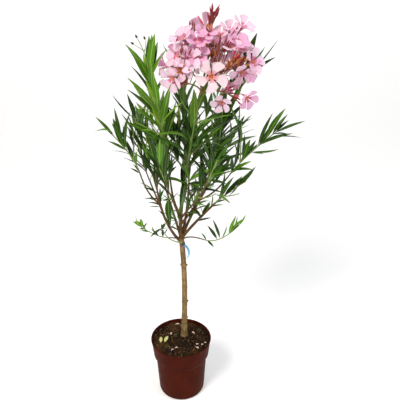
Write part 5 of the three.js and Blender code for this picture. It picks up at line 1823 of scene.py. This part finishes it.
# name, stretch, how many to a square centimetre, smallest and largest in mm, colour
SCATTERED = [
    ("peat_crumbs_dark", (1, 0.8, 0.7), 3.4, 1.6, 4.2, "#1f140a"),
    ("peat_crumbs_brown", (1, 0.75, 0.6), 1.7, 1.4, 3.8, "#3d2a16"),
    ("bark_chips_brown", (2.0, 0.7, 0.35), 0.55, 2.2, 4.6, "#633f20"),
    ("bark_chips_pale", (1.8, 0.55, 0.3), 0.26, 1.8, 3.6, "#9b7f55"),
]


def lump_prototype(name, stretch, seed):
    """A rough lump one unit across, stretched along its axes"""
    bm = bmesh.new()
    bmesh.ops.create_icosphere(bm, subdivisions=1, radius=0.5)
    for v in bm.verts:
        push = 1 + LUMP_ROUGHNESS * noise.noise(v.co * LUMP_NOISE + Vector((seed, 0, 0)))
        v.co = Vector([c * s * push for c, s in zip(v.co, stretch)])
    mesh = bpy.data.meshes.new(name)
    bm.to_mesh(mesh)
    bm.free()
    return link_object(name, mesh)


def scatter_tree():
    tree, given, out = new_tree("scatter on soil", {
        "Lump": "Object", "Density": "Float", "Seed": "Int", "Smallest": "Float", "Largest": "Float",
        "Finish": "Material"})
    points = add_node(tree, "GeometryNodeDistributePointsOnFaces", {
        "Mesh": given["Geometry"], "Density": given["Density"], "Seed": given["Seed"]})
    source = add_node(tree, "GeometryNodeObjectInfo", {"Object": given["Lump"]})
    turn = add_node(tree, "FunctionNodeRandomValue", {
        0: (-0.5, -0.5, 0.0), 1: (0.5, 0.5, 6.28), "Seed": given["Seed"]}, data_type="FLOAT_VECTOR")
    size = add_node(tree, "FunctionNodeRandomValue", {
        2: given["Smallest"], 3: given["Largest"], "Seed": given["Seed"]}, data_type="FLOAT")
    copies = add_node(tree, "GeometryNodeInstanceOnPoints", {
        "Points": points, "Instance": source.outputs["Geometry"],
        "Rotation": turn, "Scale": size.outputs[1]})
    real = add_node(tree, "GeometryNodeRealizeInstances", {"Geometry": copies})
    done = add_node(tree, "GeometryNodeSetMaterial", {"Geometry": real, "Material": given["Finish"]})
    feed(tree, out, {"Geometry": done})
    return tree


scatter = scatter_tree()
lumps = []
for seed, (name, stretch, per_square_cm, smallest, largest, colour) in enumerate(SCATTERED, 1):
    lumps.append(lump_prototype(name + "_lump", stretch, seed))
    obj = evaluated_copy(link_object(name + "_top", soil_top.copy()), scatter, {
        "Lump": lumps[-1], "Density": per_square_cm * 1e4, "Seed": seed, "Smallest": smallest * MM,
        "Largest": largest * MM, "Finish": plain_material(name + "_rough", colour, 0.95)}, name)
    finish_piece(obj, ["soil"])

# %% Moss, fallen leaves and petals
# middle and spread of each cushion, in mm
MOSS = [(-18, 12, 7), (-76, 16, 5), (-39, -30, 8), (52, 40, 6)]
MOSS_TUFTS = 70
MOSS_SPIKE = (1.2, 2.6)
MOSS_LEAN = 0.8
MOSS_SUNK = 0.4
MOSS_ROOM = 2
FALLEN_CLEAR = 1.6
FALLEN_TILT = 0.06
# rise and fall of a fallen blade as shares of its length
FALLEN_BEND = (0.18, -0.24)
# place, length, width and direction in degrees of what has fallen
FALLEN_LEAVES = [(-57, -7, 26, 9, 92), (-42, -3, 29, 10, 74)]
FALLEN_PETALS = [
    (35, 24, 11, 7, 140), (-14, 66, 12, 7, 20), (47, -25, 8, 6, 200), (46, -39, 12, 6, 330),
    (60, -25, 7, 6, 60), (69, -16, 6, 6, 20), (-23, -47, 9, 5, 40), (-12, -41, 10, 5, 30),
    (-30, 21, 10, 7, 100), (-75, 37, 7, 6, 0)]

moss = []
for index, (x, y, spread) in enumerate(MOSS):
    for i in range(MOSS_TUFTS):
        a, r = GOLDEN_TURN * i, spread * math.sqrt(i / MOSS_TUFTS)
        px, py = x + r * math.cos(a), y + r * math.sin(a)
        if math.hypot(px, py) <= soil_radius - MOSS_ROOM:
            along = unit(np.array([wobble(MOSS_LEAN, index, i, 70), wobble(MOSS_LEAN, index, i, 71), 1.0]))
            root = np.array([px, py, soil_height(px, py) - MOSS_SUNK])
            moss.append((root, along, around(along, a), (1.0, between(MOSS_SPIKE, index, i, 72), 1.0),
                         along * 0, along * 0, "soil"))
set_blades("moss", sepal, moss, (plain_material("moss_cushion_matt", "#6c7a34", 0.95),))


def fallen_blade(x, y, length, width, facing):
    """A blade that lies on the soil, with its middle a little higher than its foot and tip"""
    heading = compass(facing)
    along = unit(heading + UP * FALLEN_TILT)
    up = unit(UP - along * along[2])
    middle = np.array([x, y, soil_height(x, y) + FALLEN_CLEAR])
    rise, fall = (up * length * share for share in FALLEN_BEND)
    return middle - heading * length / 2, along, up, (width, length, width), rise, fall, "soil"


for name, prototype, rows, skin, colour in (
        ("fallen_leaves", lance, FALLEN_LEAVES, "fallen_leaf_yellowed_dry", "#c9c57c"),
        ("fallen_petals", petal, FALLEN_PETALS, "fallen_petal_faded_dry", "#d9bba6")):
    skin = plain_material(skin, colour, 0.7)
    set_blades(name, prototype, [fallen_blade(*row) for row in rows], (skin,))

# %% [markdown]
# ## The strap
# A narrow strap of blue plastic film is wrapped round the trunk under the fork, with one end hanging free.
# It is a thin ribbon: an open band that follows the trunk at a small distance, and a tail that curls down.
# The band is navy above and rose below, and its loose end is light blue.

# %% The ribbon
STRAP_AT = 0.925
STRAP_WIDTH = 10
STRAP_THICK = 0.9
STRAP_ROOM = 0.8
FILM_THICK = STRAP_THICK * 0.7
STRAP_SPAN = (-88, 150)
STRAP_STEPS = 33
STRAP_WAVE = 0.25
STRAP_WAVES = 5
BAND_WIDTH = 0.46
BAND_SIDES = (0.23, -0.23)
TAIL_SIDE = -42
TAIL_STEPS = 18
# how far out from the trunk and how far up each control point of the tail lies, after the first on the band
TAIL_TURNS = [(17, 2), (30, -8), (28, -22), (16, -36)]
TAIL_WIDTH = 0.8
TAIL_NARROWING = 0.35


def ribbon_body(path, across, width):
    """A ribbon of thin film that follows a path and is as wide as told at each of its points"""
    points = []
    for place, way, wide in zip(path, np.gradient(path, axis=0), width):
        side, up = across * wide / 2, unit(np.cross(across, unit(way))) * FILM_THICK / 2
        points += [place + side + up, place - side + up, place - side - up, place + side - up]
    end = 4 * (len(path) - 1)
    faces = [(i + k, i + (k + 1) % 4, i + 4 + (k + 1) % 4, i + 4 + k)
             for i in range(0, end, 4) for k in range(4)]
    return np.array(points), faces + [(3, 2, 1, 0), (end, end + 1, end + 2, end + 3)]


def film_material(tint, dark, pale):
    """Polyethylene film: slightly clouded, with creases across the strap"""
    material, tree, surface = new_material(f"polyethylene_film_{tint}_creased")
    where = add_node(tree, "ShaderNodeTexCoord").outputs["Object"]
    # creases about 2 mm apart
    crease = add_node(tree, "ShaderNodeTexNoise", {"Vector": where, "Scale": 450.0, "Detail": 2.0})
    colour = add_node(tree, "ShaderNodeValToRGB", {0: crease}, stops=[(0.35, dark), (0.7, pale)])
    bump = add_node(tree, "ShaderNodeBump", {"Height": crease, "Strength": 0.4, "Distance": 0.0005})
    feed(tree, surface, {"Base Color": colour, "Normal": bump, "Roughness": 0.35,
                         "IOR": 1.51})
    return material


centre, lean = trunk_curve.place(STRAP_AT), trunk_curve.heading(STRAP_AT)
band_radius = float(trunk_radius(STRAP_AT)) + STRAP_ROOM + STRAP_THICK / 2
band = []
for degrees in np.linspace(*STRAP_SPAN, STRAP_STEPS):
    out = compass(degrees)
    out = unit(out - lean * np.dot(out, lean))
    band.append(centre + out * (band_radius + STRAP_WAVE * math.sin(STRAP_WAVES * math.radians(degrees))))
tail_out = compass(TAIL_SIDE)
tail = bezier([centre + tail_out * x + UP * z for x, z in [(band_radius, 0), *TAIL_TURNS]],
              np.linspace(0, 1, TAIL_STEPS))
tail_width = STRAP_WIDTH * TAIL_WIDTH * np.linspace(1, 1 - TAIL_NARROWING, TAIL_STEPS)
ribbons = [ribbon_body(tail, unit(np.cross(UP, tail_out)), tail_width)]
half = [STRAP_WIDTH * BAND_WIDTH] * STRAP_STEPS
ribbons += [ribbon_body(np.array(band) + lean * STRAP_WIDTH * side, lean, half) for side in BAND_SIDES]
obj = joined_bodies("strap_film", [(*body, number) for number, body in enumerate(ribbons)], [
    film_material("blue", "#3f97c8", "#86c6df"), film_material("navy", "#28466e", "#3f628a"),
    film_material("rose", "#98404e", "#bb6a72")], smooth=False)
finish_piece(obj, ["label_strap"])

# %% [markdown]
# ## Finishing
# The prototypes have done their work and are removed. The plant's size after the finish is printed, so that
# the visual model can be held against the solids.

# %% Tidy up, measure and finish
for prototype in (lance, petal, sepal, *lumps):
    bpy.data.objects.remove(prototype)
low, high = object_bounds()
print("finished from", [round(v, 4) for v in low], "to", [round(v, 4) for v in high])
